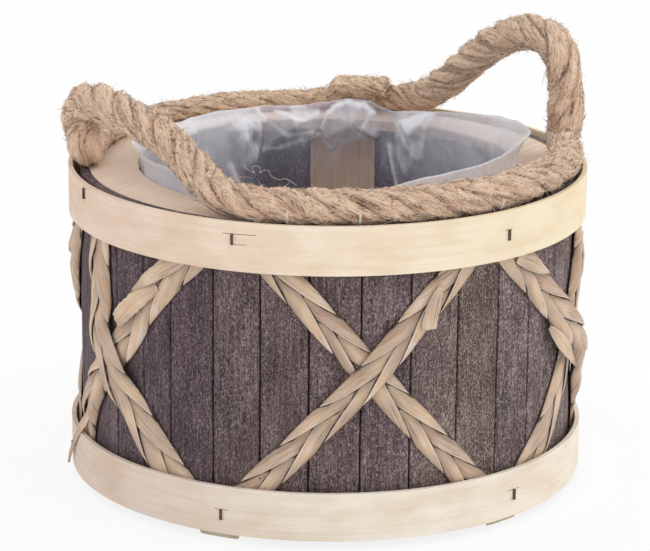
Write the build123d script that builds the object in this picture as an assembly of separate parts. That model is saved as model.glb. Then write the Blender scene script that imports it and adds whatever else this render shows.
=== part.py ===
from build123d import *
import math
import os

os.makedirs("parts", exist_ok=True)

# A round planter basket: a drum of dark upright staves between two pale bent-wood bands, with
# leaf plaits crossed over the staves, a jute rope round the rim that rises into two handles,
# and a film liner hanging in a ring-shaped ledge. Millimetres, +Z up, floor at Z = 0, axis at the
# origin. Angles go anticlockwise seen from above, from the side that faces the front.

# Overall sizes
drum_radius = 150.0  # outside of the bands
drum_height = 179.0  # lower edge of the bottom band to upper edge of the top band
floor_clearance = 5.0  # lower edge of the bottom band above the floor
front_direction = -128.0  # of the front from +X; the handles then stand on +X and -X
full_turn_angle = 360.0

# Clearances
seat_gap = 0.15  # between pieces that lie against each other
running_gap = 0.3  # round the handles, which move
cut_overrun = 5.0  # how far a cutting tool reaches past what it cuts

# Bands
band_thickness = 2.5
top_band_height = 27.5
bottom_band_height = 27.5
band_seam_width = 0.8  # where the two ends of a bent strip meet
top_seam_angle = 160.0
bottom_seam_angle = -160.0

# Staves
stave_thickness = 5.0
stave_gap = 0.2  # between neighbours, at their inner edges
stave_edge_round = 0.8
stave_lift = 1.0  # lower ends of the staves above the bottom band's lower edge
first_joint_angle = -54.9
stave_width_shares = [
    0.87, 0.74, 1.00, 0.98, 0.96, 1.01, 0.99, 1.01, 0.99, 0.95, 1.03, 1.00, 1.04, 1.02, 1.05, 1.00,
    1.03, 1.01, 1.04, 1.02, 1.00, 1.05, 1.03, 0.98, 1.04, 1.02, 1.01, 1.05, 1.00, 1.03, 1.04, 1.02,
]

# Plaits
braid_thickness = 3.3
braid_width = 15.5
braid_tuck = 12.0  # how far a plait's end reaches behind a band
braid_hump_flat_share = 1.0  # of the plait's width, raised to clear the plait below
braid_hump_ramp_share = 2.0  # of the plait's width, where the rise begins
# Where each crossing's plaits meet the bands' edges, as angles: top left, top right, bottom left,
# bottom right; and which of its two plaits lies on top, the one that rises to the right or falls
crossing_angles = {
    "front": (-9.9, 29.9, -14.6, 32.7),
    "right": (48.9, 90.0, 54.8, 86.0),
    "back_right": (109.0, 149.0, 107.0, 150.0),
    "back": (-189.0, -150.5, -190.0, -150.5),
    "back_left": (-131.0, -91.0, -130.5, -89.0),
    "left": (-66.3, -33.7, -71.0, -36.2),
}
upper_plaits = {
    "front": "rising",
    "right": "falling",
    "back_right": "rising",
    "back": "falling",
    "back_left": "rising",
    "left": "falling",
}

# Base, ledge and struts
board_thickness = 6.0  # of the base disc and the ledge ring
ledge_drop = 2.0  # the ledge's top face below the top band's upper edge
ledge_width = 28.0
stave_top_drop = 0.2  # upper ends of the staves below the ledge's top face
strut_width = 40.0
strut_thickness = 5.0
strut_count = 4
first_strut_angle = 176.0
runner_width = 20.0
runner_offset_share = 0.5333  # of the drum's radius, from its axis to each runner's middle line
runner_end_inset = 4.5  # of the runners' ends from the band's inner face
runner_angle = 10.0
runner_edge_round = 1.5

# Rope
rope_diameter = 18.5
rope_back_diameter = 13.0  # at the back, where it is pulled thin
rope_end_diameter = 14.0  # of the lower end
rope_sides_count = 12  # flat sides of the tubes that stand for the laid rope
rope_thin_end_angle = 236.0  # where the thin back rope starts to thicken towards the left handle
rope_thick_start_angle = 262.0
rope_step_angle = 6.0  # between the outlines that the back rope is built through
rope_lip_gap = 0.5  # between the rope and the band's inner face
# Feet of the handles, as angles: each rises upright from its first foot and slopes down to the second.
left_handle_foot_angles = (-81.5, -22.5)
right_handle_foot_angles = (98.5, 157.5)
left_handle_rise = 31.5  # of the rope's middle line above the feet
right_handle_rise = 61.1
# The corners of each handle's line in its own upright plane: shares of the distance from the first
# foot to the second, of the rise, and of the rope's diameter for the radius of the bend there.
left_handle_route_shares = [(0.0, 1.0, 0.75), (0.38, 0.95, 8.0), (0.70, 0.53, 7.0)]
right_handle_route_shares = [(0.0, 0.94, 0.9), (0.275, 1.0, 1.4)]
splice_bottom_angle = 186.0  # where the upper rope end starts to climb
splice_climb_angle = 183.5
splice_top_angle = 177.5
splice_middle_angle = 170.5
upper_end_angle = 164.0
lower_end_angle = 174.5
splice_bend = 9.0  # radius of the upper end's middle line where it climbs
splice_lean_angle = 46.0  # from upright, inward: the upper end leans on the lower end's inner side

# Liner
liner_wall = 0.8
liner_gap = 0.3  # round the liner in the ledge's hole
liner_floor_slope = 12.0  # height and width of the bag's sloping lower edge
liner_belly_height = 95.0  # above its floor, where the folds are deepest
liner_neck_drop = 12.0  # below the ledge's top face, where the folds run out
liner_start_angle = 8.0
liner_step_angle = 10.0
# Folds that hang inward from the wall: angle of each, and its depth at the bag's widest part
liner_fold_depths = {
    8.0: 6.0, 28.0: 2.0, 68.0: 5.0, 98.0: 6.0, 128.0: 3.0, 158.0: 7.5, 188.0: 7.0, 218.0: 3.5,
    248.0: 6.0, 278.0: 7.0, 308.0: 3.5, 338.0: 6.0,
}
liner_fold_foot_share = 0.5  # of a fold's depth, left at the bag's sloping lower edge
liner_fold_neck_share = 0.3  # the same at its neck
# The uneven free edge: angle, height above the ledge, and reach outward from the hole
liner_edge = [
    (0.0, 9.0, 0.0), (30.0, 15.0, 1.0), (55.0, 17.5, 2.5), (80.0, 17.0, 4.0), (94.0, 12.0, 8.0),
    (140.0, 9.5, 9.0), (152.0, 8.0, 4.0), (158.0, 8.0, -2.5), (166.0, 8.5, 3.0), (176.0, 8.5, 7.0),
    (200.0, 9.0, 7.5), (230.0, 6.0, 7.5), (258.0, 11.5, 5.5), (282.0, 12.0, 5.0), (305.0, 11.5, 4.0),
    (330.0, 10.0, 1.5), (360.0, 9.0, 0.0),
]

# Staples
staple_wire = 1.2
band_staple_crown = 6.0
band_staple_leg = 11.0
rope_staple_crown = 6.5
rope_staple_leg = 9.0
rope_staple_sink = 0.4  # of the crown into the soft rope
rope_staple_tilt_angle = 29.0  # below level, so that the legs point up into the rope
# Where they are, as angles, with the share of the band's height that each one stands at
top_staple_places_share = {
    -65.3: 0.80, -19.9: 0.65, 41.4: 0.50, 99.0: 0.62, 155.0: 0.70, 203.0: 0.55, 234.0: 0.72,
}
bottom_staple_places_share = {
    -80.0: 0.42, -22.4: 0.41, 44.9: 0.46, 96.5: 0.50, 164.0: 0.40, 214.0: 0.47, 252.0: 0.44,
}
rope_staple_angles = [-8.5, 6.9, 40.7, 75.0, 198.0, 226.0, 250.0]

# Worked-out levels and radii
rope_radius = rope_diameter / 2
rope_back_radius = rope_back_diameter / 2
rope_end_radius = rope_end_diameter / 2
band_bottom = floor_clearance
band_top = band_bottom + drum_height
ledge_top = band_top - ledge_drop
ledge_bottom = ledge_top - board_thickness
stave_bottom = band_bottom + stave_lift
stave_top = ledge_top - stave_top_drop
base_bottom = stave_bottom
base_top = base_bottom + board_thickness
band_inner_radius = drum_radius - band_thickness
braid_outer_radius = band_inner_radius - seat_gap
braid_inner_radius = braid_outer_radius - braid_thickness
stave_corner_radius = braid_inner_radius - seat_gap
widest_stave_angle = full_turn_angle * max(stave_width_shares) / sum(stave_width_shares)
stave_outer_face = stave_corner_radius * math.cos(math.radians(widest_stave_angle / 2))
stave_inner_face = stave_outer_face - stave_thickness
board_radius = stave_inner_face - seat_gap
ledge_hole_radius = board_radius - ledge_width
runner_offset = drum_radius * runner_offset_share
runner_end_radius = band_inner_radius - runner_end_inset
rope_path_radius = band_inner_radius - rope_lip_gap - rope_radius
rope_bed = ledge_top + running_gap  # the rope's underside, a little above the ledge
rope_level = rope_bed + rope_radius


def turned(angle):
    """The angle from +X of a direction that is given from the front."""
    return front_direction + angle


def spot(radius, angle, level):
    """The point at a radius, an angle from the front and a level."""
    a = math.radians(turned(angle))
    return Vector(radius * math.cos(a), radius * math.sin(a), level)


def facing(radius, angle, level):
    """A plane whose normal points outward at that spot, with its x along the rim and y up."""
    a = math.radians(turned(angle))
    return Plane(
        origin=spot(radius, angle, level),
        x_dir=(-math.sin(a), math.cos(a), 0),
        z_dir=(math.cos(a), math.sin(a), 0),
    )


def save(shape, name):
    export_step(shape, f"parts/{name}.step")


def drum_ring(outer, inner, bottom, top):
    """A round tube about the drum's axis."""
    wall = Cylinder(outer, top - bottom, align=(Align.CENTER, Align.CENTER, Align.MIN))
    hole = Cylinder(inner, top - bottom + 2 * cut_overrun, align=(Align.CENTER, Align.CENTER, Align.MIN))
    return Pos(0, 0, bottom) * (wall - Pos(0, 0, -cut_overrun) * hole)


def make_band(bottom, height, seam_angle):
    """A bent strip whose ends meet at the seam."""
    ring = drum_ring(drum_radius, band_inner_radius, bottom, bottom + height)
    seam = Box(band_seam_width, height + 2 * cut_overrun, band_thickness + 2 * cut_overrun)
    return ring - facing(drum_radius, seam_angle, bottom + height / 2) * seam


def make_staves():
    """Flat upright boards side by side, square-cut, so that a narrow V stays open between two."""
    total = sum(stave_width_shares)
    height = stave_top - stave_bottom
    staves = []
    start = first_joint_angle
    for share in stave_width_shares:
        span = full_turn_angle * share / total
        width = 2 * stave_inner_face * math.tan(math.radians(span / 2)) - stave_gap
        board = Box(width, height, stave_thickness, align=(Align.CENTER, Align.CENTER, Align.MIN))
        front_edges = board.edges().filter_by(Axis.Y).group_by(Axis.Z)[-1]
        board = fillet(front_edges, stave_edge_round)
        middle = (stave_bottom + stave_top) / 2
        staves.append(facing(stave_inner_face, start + span / 2, middle) * board)
        start += span
    return staves


def plait_shell(crossing_level, raised):
    """The sleeve that a plait lies in; the upper plait's sleeve swells where it crosses the other."""
    bottom = band_bottom + bottom_band_height - braid_tuck
    top = band_top - top_band_height + braid_tuck
    flat = braid_width * braid_hump_flat_share
    ramp = braid_width * braid_hump_ramp_share
    line = [(braid_inner_radius, bottom), (braid_inner_radius, top)]
    if raised:
        hump_radius = braid_inner_radius + braid_thickness + seat_gap
        line[1:1] = [
            (braid_inner_radius, crossing_level - ramp),
            (hump_radius, crossing_level - flat),
            (hump_radius, crossing_level + flat),
            (braid_inner_radius, crossing_level + ramp),
        ]
    corners = line + [(radius + braid_thickness, level) for radius, level in reversed(line)]
    profile = Polyline([(radius, 0, level) for radius, level in corners], close=True)
    return revolve(make_face(profile), Axis.Z)


def make_plait(shell, bottom_angle, top_angle):
    """One plait as a slanting strip cut out of its sleeve."""
    low = band_bottom + bottom_band_height
    high = band_top - top_band_height
    half_height = (high - low) / 2
    half_turn = math.radians(top_angle - bottom_angle) / 2
    reach = braid_outer_radius * math.sin(half_turn)
    lean = reach / half_height
    half_side = braid_width / 2 * math.hypot(1, lean)
    end = half_height + braid_tuck + cut_overrun
    strip = Polyline(
        (-end * lean - half_side, -end),
        (-end * lean + half_side, -end),
        (end * lean + half_side, end),
        (end * lean - half_side, end),
        close=True,
    )
    plane = facing(0, (bottom_angle + top_angle) / 2, (low + high) / 2)
    cutter = extrude(plane * make_face(strip), drum_radius + cut_overrun)
    return (shell & cutter).solid()


def make_crossing(top_left, top_right, bottom_left, bottom_right, upper):
    """The two plaits of one crossing: rising to the right, and falling to the right."""
    low = band_bottom + bottom_band_height
    high = band_top - top_band_height
    spread = (bottom_right - bottom_left) + (top_right - top_left)
    crossing_level = low + (high - low) * (bottom_right - bottom_left) / spread
    rising = make_plait(plait_shell(crossing_level, upper == "rising"), bottom_left, top_right)
    falling = make_plait(plait_shell(crossing_level, upper == "falling"), bottom_right, top_left)
    return {"rising": rising, "falling": falling}


def make_struts():
    """Boards that stand inside the staves between the base and the ledge."""
    half = strut_width / 2
    face = math.sqrt(board_radius**2 - half**2)
    height = ledge_bottom - base_top - 2 * seat_gap
    board = Box(strut_width, height, strut_thickness, align=(Align.CENTER, Align.CENTER, Align.MAX))
    angles = [first_strut_angle + full_turn_angle * i / strut_count for i in range(strut_count)]
    middle = (base_top + ledge_bottom) / 2
    return Compound(children=[facing(face, angle, middle) * board for angle in angles])


def make_runners():
    """Two battens under the base that the basket stands on, their ends cut to the drum's curve."""
    rounds = Cylinder(runner_end_radius, base_bottom, align=(Align.CENTER, Align.CENTER, Align.MIN))
    runners = []
    for side in (-1, 1):
        batten = Box(
            2 * drum_radius, runner_width, base_bottom, align=(Align.CENTER, Align.CENTER, Align.MIN)
        )
        batten = fillet(batten.edges().filter_by(Axis.X).group_by(Axis.Z)[0], runner_edge_round)
        placed = Rot(0, 0, turned(runner_angle)) * Pos(0, side * runner_offset, 0) * batten
        runners.append((placed & rounds).solid())
    return Compound(children=runners)


def rope_section(radius, middle, along, level_direction):
    """The rope's outline as an even many-sided shape, square to the rope, with a corner on a direction."""
    plane = Plane(origin=middle, x_dir=level_direction, z_dir=along)
    return plane * RegularPolygon(radius, rope_sides_count)


def rope_arc(radius, start_angle, end_angle, level):
    """A stretch of rope lying along the rim."""
    start = facing(rope_path_radius, start_angle, level)
    section = rope_section(radius, start.origin, start.x_dir, start.z_dir)
    return revolve(section, Axis.Z, end_angle - start_angle)


def foot_room(foot_angle, other_foot_angle):
    """The room that a handle's foot turns in: the rim rope ends flat beside it, square to the hinge line."""
    foot = spot(rope_path_radius, foot_angle, rope_level)
    along = (spot(rope_path_radius, other_foot_angle, rope_level) - foot).normalized()
    size = 3 * rope_diameter
    block = Box(size, size, size, align=(Align.MIN, Align.CENTER, Align.CENTER))
    corner = foot - along * (rope_radius + running_gap)
    return Plane(origin=corner, x_dir=along, z_dir=(0, 0, 1)) * block


def make_handle(foot_angles, rise, route_shares):
    """A rope loop in one upright plane, with a round end at each foot for it to tilt about."""
    first = spot(rope_path_radius, foot_angles[0], rope_level)
    last = spot(rope_path_radius, foot_angles[1], rope_level)
    corners = [first + (last - first) * s + Vector(0, 0, rise * h) for s, h, bend in route_shares]
    bends = [rope_diameter * bend for s, h, bend in route_shares]
    path = FilletPolyline([first, *corners, last], radius=bends)
    section = rope_section(rope_radius, first, path % 0, (last - first).normalized())
    print(f"handle rope {path.length:.1f} long, bends {[round(bend, 1) for bend in bends]}")
    loop = sweep(section, path)
    flat_radius = rope_radius * math.cos(math.pi / rope_sides_count)  # to the middle of a flat side
    for foot, outward in ((first, path % 0 * -1), (last, path % 1)):
        ball = Pos(foot) * Sphere(flat_radius - seat_gap)
        loop += split(ball, Plane(origin=foot, z_dir=outward), keep=Keep.TOP)
    return loop


def back_rope_radius(angle):
    """The rope's own radius along the back, thin first and full at the left handle."""
    run = (angle - rope_thin_end_angle) / (rope_thick_start_angle - rope_thin_end_angle)
    return rope_back_radius + (rope_radius - rope_back_radius) * min(1, max(0, run))


def make_back_rope():
    """The rope along the back, which lies on the ledge and thickens towards the left handle."""
    end_angle = left_handle_foot_angles[0] + full_turn_angle
    steps = round((end_angle - splice_bottom_angle) / rope_step_angle)
    outlines = []
    for i in range(steps + 1):
        angle = splice_bottom_angle + (end_angle - splice_bottom_angle) * i / steps
        radius = back_rope_radius(angle)
        place = facing(rope_path_radius, angle, rope_bed + radius)
        outlines.append(rope_section(radius, place.origin, place.x_dir, place.z_dir))
    return loft(outlines, ruled=True)


def make_upper_rope_end():
    """The rope's upper end, which climbs beside its lower end and leans on its inner side."""
    low = rope_bed + rope_back_radius
    lean = math.radians(splice_lean_angle)
    apart = rope_end_radius + rope_back_radius + seat_gap
    over = rope_bed + rope_end_radius + apart * math.cos(lean)
    inward = rope_path_radius - apart * math.sin(lean)
    stops = [
        (rope_path_radius, splice_bottom_angle, low),
        (rope_path_radius, splice_climb_angle, low),
        (inward, splice_top_angle, over),
        (inward, splice_middle_angle, over),
        (inward, upper_end_angle, over),
    ]
    path = FilletPolyline([spot(*stop) for stop in stops], radius=splice_bend)
    start = facing(rope_path_radius, splice_bottom_angle, low)
    return sweep(rope_section(rope_back_radius, start.origin, start.x_dir * -1, start.z_dir), path)


def edge_mark(angle):
    """The liner's free edge at an angle: its height above the ledge and its reach outward."""
    for (start, low, near), (end, high, far) in zip(liner_edge, liner_edge[1:]):
        if start <= angle <= end:
            run = (angle - start) / (end - start)
            return low + (high - low) * run, near + (far - near) * run


def liner_rings(inset):
    """The liner's outline at each level, from its floor to its free edge, as rings of points."""
    neck = ledge_hole_radius - liner_gap - inset
    floor = base_top + seat_gap + inset
    slope_top = base_top + seat_gap + liner_floor_slope
    rings = [[], [], [], [], [], []]
    for i in range(round(full_turn_angle / liner_step_angle)):
        angle = liner_start_angle + i * liner_step_angle
        fold = liner_fold_depths.get(angle, 0)
        height, reach = edge_mark(angle % full_turn_angle)
        foot = fold * liner_fold_foot_share
        rest = fold * liner_fold_neck_share
        rings[0].append(spot(neck - liner_floor_slope + inset - foot, angle, floor))
        rings[1].append(spot(neck - foot, angle, slope_top))
        rings[2].append(spot(neck - fold, angle, floor + liner_belly_height))
        rings[3].append(spot(neck - rest, angle, ledge_top - liner_neck_drop))
        rings[4].append(spot(neck - rest, angle, ledge_top))
        rings[5].append(spot(neck + reach, angle, ledge_top + height))
    return rings


def ring_faces(lower, upper):
    """The strip of three-cornered faces between two rings of points."""
    faces = []
    for i in range(len(lower)):
        j = (i + 1) % len(lower)
        for corners in ((lower[i], lower[j], upper[j]), (lower[i], upper[j], upper[i])):
            faces.append(make_face(Polyline(*corners, close=True)).face())
    return faces


def make_liner():
    """The film bag with its main folds and its uneven free edge, open at the top."""
    outer = liner_rings(0)
    inner = liner_rings(liner_wall)
    faces = [make_face(Polyline(*rings[0], close=True)).face() for rings in (outer, inner)]
    for rings in (outer, inner):
        for lower, upper in zip(rings, rings[1:]):
            faces += ring_faces(lower, upper)
    faces += ring_faces(outer[-1], inner[-1])
    bag = Solid(Shell(faces))
    return bag


def staple(crown, leg):
    """A wire staple with its crown on the plane, upright, and its legs below the plane."""
    wire = Box(staple_wire, crown, staple_wire, align=(Align.CENTER, Align.CENTER, Align.MIN))
    for side in (-1, 1):
        prong = Box(staple_wire, staple_wire, leg, align=(Align.CENTER, Align.CENTER, Align.MAX))
        wire += Pos(0, side * (crown - staple_wire) / 2, 0) * prong
    return wire


def make_band_staples(bottom, height, places):
    """Staples through a band into the staves behind it."""
    wire = staple(band_staple_crown, band_staple_leg)
    return [facing(drum_radius, angle, bottom + height * share) * wire for angle, share in places.items()]


def make_rope_staples():
    """Staples in the rope's lower outer edge, which hold it down inside the band."""
    staples = []
    for angle in rope_staple_angles:
        radius = back_rope_radius(angle) if angle > splice_bottom_angle else rope_radius
        wire = Pos(0, 0, radius - rope_staple_sink) * staple(rope_staple_crown, rope_staple_leg)
        tilted = Rot(rope_staple_tilt_angle, 0, 0) * wire
        staples.append(facing(rope_path_radius, angle, rope_bed + radius) * tilted)
    return staples


# Pieces that the staples go through are cut by the staples' own shapes.
top_staples = make_band_staples(band_top - top_band_height, top_band_height, top_staple_places_share)
bottom_staples = make_band_staples(band_bottom, bottom_band_height, bottom_staple_places_share)
band_staples = top_staples + bottom_staples
rope_staples = make_rope_staples()

base_disc = Pos(0, 0, base_bottom) * Cylinder(
    board_radius, board_thickness, align=(Align.CENTER, Align.CENTER, Align.MIN)
)
save(base_disc, "base_disc")
save(make_runners(), "base_runners")
save(make_struts(), "inner_struts")
save(drum_ring(board_radius, ledge_hole_radius, ledge_bottom, ledge_top) - top_staples, "top_ring")
for number, stave in enumerate(make_staves(), start=1):
    save(stave - band_staples, f"stave_{number:02d}")
top_band = make_band(band_top - top_band_height, top_band_height, top_seam_angle)
bottom_band = make_band(band_bottom, bottom_band_height, bottom_seam_angle)
save(top_band - top_staples, "top_band")
save(bottom_band - bottom_staples, "bottom_band")
save(Compound(children=band_staples), "band_staples")

for place, angles in crossing_angles.items():
    for direction, plait in make_crossing(*angles, upper_plaits[place]).items():
        save(plait - band_staples, f"plait_{place}_{direction}")

left_first, left_last = left_handle_foot_angles
right_first, right_last = right_handle_foot_angles
front_rope = rope_arc(rope_radius, left_last, right_first, rope_level)
front_rope -= [foot_room(left_last, left_first), foot_room(right_first, right_last)]
back_rope = make_back_rope() - foot_room(left_first, left_last)
lower_level = rope_bed + rope_end_radius
lower_end = rope_arc(rope_end_radius, right_last, lower_end_angle, lower_level)
lower_end -= foot_room(right_last, right_first)
save(front_rope - rope_staples, "rim_rope_front")
save(back_rope - rope_staples, "rim_rope_back")
save(lower_end, "rope_end_lower")
save(make_upper_rope_end(), "rope_end_upper")
save(Compound(children=rope_staples), "rope_staples")
save(make_handle(left_handle_foot_angles, left_handle_rise, left_handle_route_shares), "handle_left")
save(make_handle(right_handle_foot_angles, right_handle_rise, right_handle_route_shares), "handle_right")
save(make_liner(), "liner")
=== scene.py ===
import math
from functools import partial

import bmesh
import bpy
import numpy as np
from mathutils import Matrix, Vector, noise


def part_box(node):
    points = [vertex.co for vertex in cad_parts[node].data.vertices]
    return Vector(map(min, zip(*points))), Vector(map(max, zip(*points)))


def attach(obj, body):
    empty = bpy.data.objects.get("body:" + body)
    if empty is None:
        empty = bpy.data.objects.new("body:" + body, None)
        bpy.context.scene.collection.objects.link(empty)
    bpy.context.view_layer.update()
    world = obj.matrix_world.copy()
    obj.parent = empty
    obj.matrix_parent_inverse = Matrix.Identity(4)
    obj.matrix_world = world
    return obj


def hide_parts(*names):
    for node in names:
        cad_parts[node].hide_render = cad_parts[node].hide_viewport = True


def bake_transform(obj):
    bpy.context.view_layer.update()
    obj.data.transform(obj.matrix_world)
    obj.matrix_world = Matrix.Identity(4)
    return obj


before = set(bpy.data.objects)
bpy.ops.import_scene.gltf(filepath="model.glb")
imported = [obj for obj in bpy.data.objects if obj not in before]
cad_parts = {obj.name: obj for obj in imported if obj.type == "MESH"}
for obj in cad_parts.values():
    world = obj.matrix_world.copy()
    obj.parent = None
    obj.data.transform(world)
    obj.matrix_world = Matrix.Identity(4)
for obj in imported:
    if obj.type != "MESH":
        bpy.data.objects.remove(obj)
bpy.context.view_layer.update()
mm = 0.001
print("frame loaded")

# The drum as the frame has it. Angles are in degrees from the front, anticlockwise seen from above.
frontFromX = -128.0
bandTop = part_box("top_band")[1][2]
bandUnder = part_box("top_band")[0][2]  # the top band's lower edge
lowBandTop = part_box("bottom_band")[1][2]
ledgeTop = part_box("top_ring")[1][2]
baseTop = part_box("base_disc")[1][2]
bandRadius = (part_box("top_band")[1][0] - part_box("top_band")[0][0]) / 2
bandInner = bandRadius - 2.5 * mm
staveFace = 143.9 * mm  # the staves' outer corners
rimRadius = bandInner - 9.75 * mm  # the rope's middle line


def onRim(radius, angle, level):
    turned = math.radians(frontFromX + angle)
    return Vector((radius * math.cos(turned), radius * math.sin(turned), level))


def smoothStep(low, high, value):
    t = np.clip((value - low) / (high - low), 0, 1)
    return t * t * (3 - 2 * t)


def ease(low, high, value):  # the same for one plain number
    t = min(1.0, max(0.0, (value - low) / (high - low)))
    return t * t * (3 - 2 * t)


# sRGB hex to linear
def toLinear(colour):
    parts = [int(colour[i:i + 2], 16) / 255 for i in (1, 3, 5)]
    return [c / 12.92 if c <= 0.04045 else ((c + 0.055) / 1.055) ** 2.4 for c in parts] + [1.0]


# Feeds a node's inputs with values, sockets to link, or nodes, which give their first output in use
def feedNode(node, feeds):
    for name, value in feeds.items():
        if isinstance(value, bpy.types.Node):
            value = next(socket for socket in value.outputs if socket.enabled)
        if isinstance(value, bpy.types.NodeSocket):
            node.id_data.links.new(value, node.inputs[name])
        else:
            node.inputs[name].default_value = value


# Adds a shader node with its settings and feeds; stops are those of a colour ramp
def addNode(tree, kind, feeds=None, stops=(), **settings):
    node = tree.nodes.new("ShaderNode" + kind)
    for name, value in settings.items():
        setattr(node, name, value)
    feedNode(node, feeds or {})
    for number, (place, colour) in enumerate(stops):
        elements = node.color_ramp.elements
        element = elements[number] if number < len(elements) else elements.new(1.0)
        element.position = place
        element.color = toLinear(colour) if isinstance(colour, str) else [colour] * 3 + [1.0]
    return node


def newMaterial(name, **values):
    material = bpy.data.materials.new(name)
    material.use_nodes = True
    shader = material.node_tree.nodes["Principled BSDF"]
    feedNode(shader, {name.replace("_", " "): value for name, value in values.items()})
    return material, shader, partial(addNode, material.node_tree)


noBump = (0, 0, 0)  # the normal that a first bump starts from


# Millimetres along the drum's wall: x round it from the front, y up it, z out from its axis
def unrolledWall(add, stretch):
    place = add("TexCoord").outputs["Object"]
    turned = add("VectorRotate", {"Vector": place, "Angle": -math.radians(frontFromX)}, rotation_type="Z_AXIS")
    parts = add("SeparateXYZ", {0: turned}).outputs
    angle = add("Math", {0: parts[1], 1: parts[0]}, operation="ARCTAN2")
    flat = add("VectorMath", {0: turned, 1: (1, 1, 0)}, operation="MULTIPLY")
    depth = add("VectorMath", {0: flat}, operation="LENGTH").outputs["Value"]
    along = add("Math", {0: angle, 1: bandRadius}, operation="MULTIPLY")
    wall = add("CombineXYZ", {0: along, 1: parts[2], 2: depth})
    return add("VectorMath", {0: wall, 1: [s / mm for s in stretch]}, operation="MULTIPLY")


# Swings from -1 to 1 and back, once round the drum
def sideSwing(add):
    turn = add("SeparateXYZ", {0: unrolledWall(add, (mm / bandRadius, 1, 1))})
    return add("Math", {0: turn}, operation="SINE")


# Poplar veneer, peeled off the log in one sheet and bent green: matt and pale, with a faint
# lengthwise grain, slow mottling, and a tint that goes from pinkish to cream round the drum,
# which is painted shade: darker and pinkish on the left, away from the lamp, cream to the right.
# splits: angle of each staple, its share of the band's height, and mm the grain has split to each side
def peeledVeneer(name, colours, under, top, splits, grainLength=60.0, grainWidth=2.2, blotch=16.0):
    material, shader, add = newMaterial(name, Roughness=0.7)
    grain, cloud, check = (
        add("TexNoise", {"Vector": unrolledWall(add, waves), "Scale": 1.0, "Detail": detail, "Roughness": rough})
        for waves, detail, rough in (((1 / grainLength, 1 / grainWidth, 1 / 20), 5.0, 0.6),
                                     ((1 / (1.8 * blotch), 1 / blotch, 1 / 60), 4.0, 0.5),
                                     ((1 / 7.0, 1 / 0.6, 1 / 20), 2.0, 0.5)))
    # painted shade: the tint runs from a darker pinkish on the left, away from the lamp, to cream on the right
    side = add("MapRange", {0: sideSwing(add), 1: -1.0, 2: 1.0})
    tintAndSideShade = add("ValToRGB", {0: side}, stops=zip((0.1, 0.55, 0.95), colours[:3]))
    tone = add("ValToRGB", {0: grain}, stops=[(0.25, "#F4EEE6"), (0.5, "#FCFAF7"), (0.72, "#FFFFFF")])
    mottle = add("ValToRGB", {0: cloud}, stops=[(0.34, "#F6F0E8"), (0.60, "#FFFFFF")])
    for shade in (tone, mottle):
        tintAndSideShade = add("Mix", {0: 1.0, 6: tintAndSideShade, 7: shade}, data_type="RGBA", blend_type="MULTIPLY")
    dark = add("ValToRGB", {0: check}, stops=[(0.68, 0.0), (0.80, 0.8)])
    wall = add("SeparateXYZ", {0: unrolledWall(add, (1, 1, 1))}).outputs
    wander = add("Math", {0: cloud, 1: 1.6, 2: wall[1]}, operation="MULTIPLY_ADD")
    split = 0.0
    for angle, share, reach in splits:
        level = (under + (top - under) * share) / mm + 0.8
        # one split over the staple and a shorter one under it: mm above, share of the reach, half width
        for above, shorter, wide in ((2.9, 1.0, 0.18), (-2.8, 0.45, 0.15)):
            near = add("Math", {0: wall[0], 1: math.radians(angle) * bandRadius / mm, 2: reach * shorter},
                       operation="COMPARE")
            thin = add("Math", {0: wander, 1: level + above, 2: wide}, operation="COMPARE")
            split = add("Math", {0: near, 1: thin, 2: split}, operation="MULTIPLY_ADD", use_clamp=True)
    for share, colour in ((dark, colours[3]), (split, colours[4])):
        tintAndSideShade = add("Mix", {0: share, 6: tintAndSideShade, 7: toLinear(colour)}, data_type="RGBA")
    lift = noBump
    for height, strength, deep in ((grain, 0.3, 0.3), (check, 0.2, 0.2)):
        lift = add("Bump", {"Height": height, "Strength": strength, "Distance": deep * mm, "Normal": lift})
    feedNode(shader, {"Base Color": tintAndSideShade, "Normal": lift})
    return material


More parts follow.
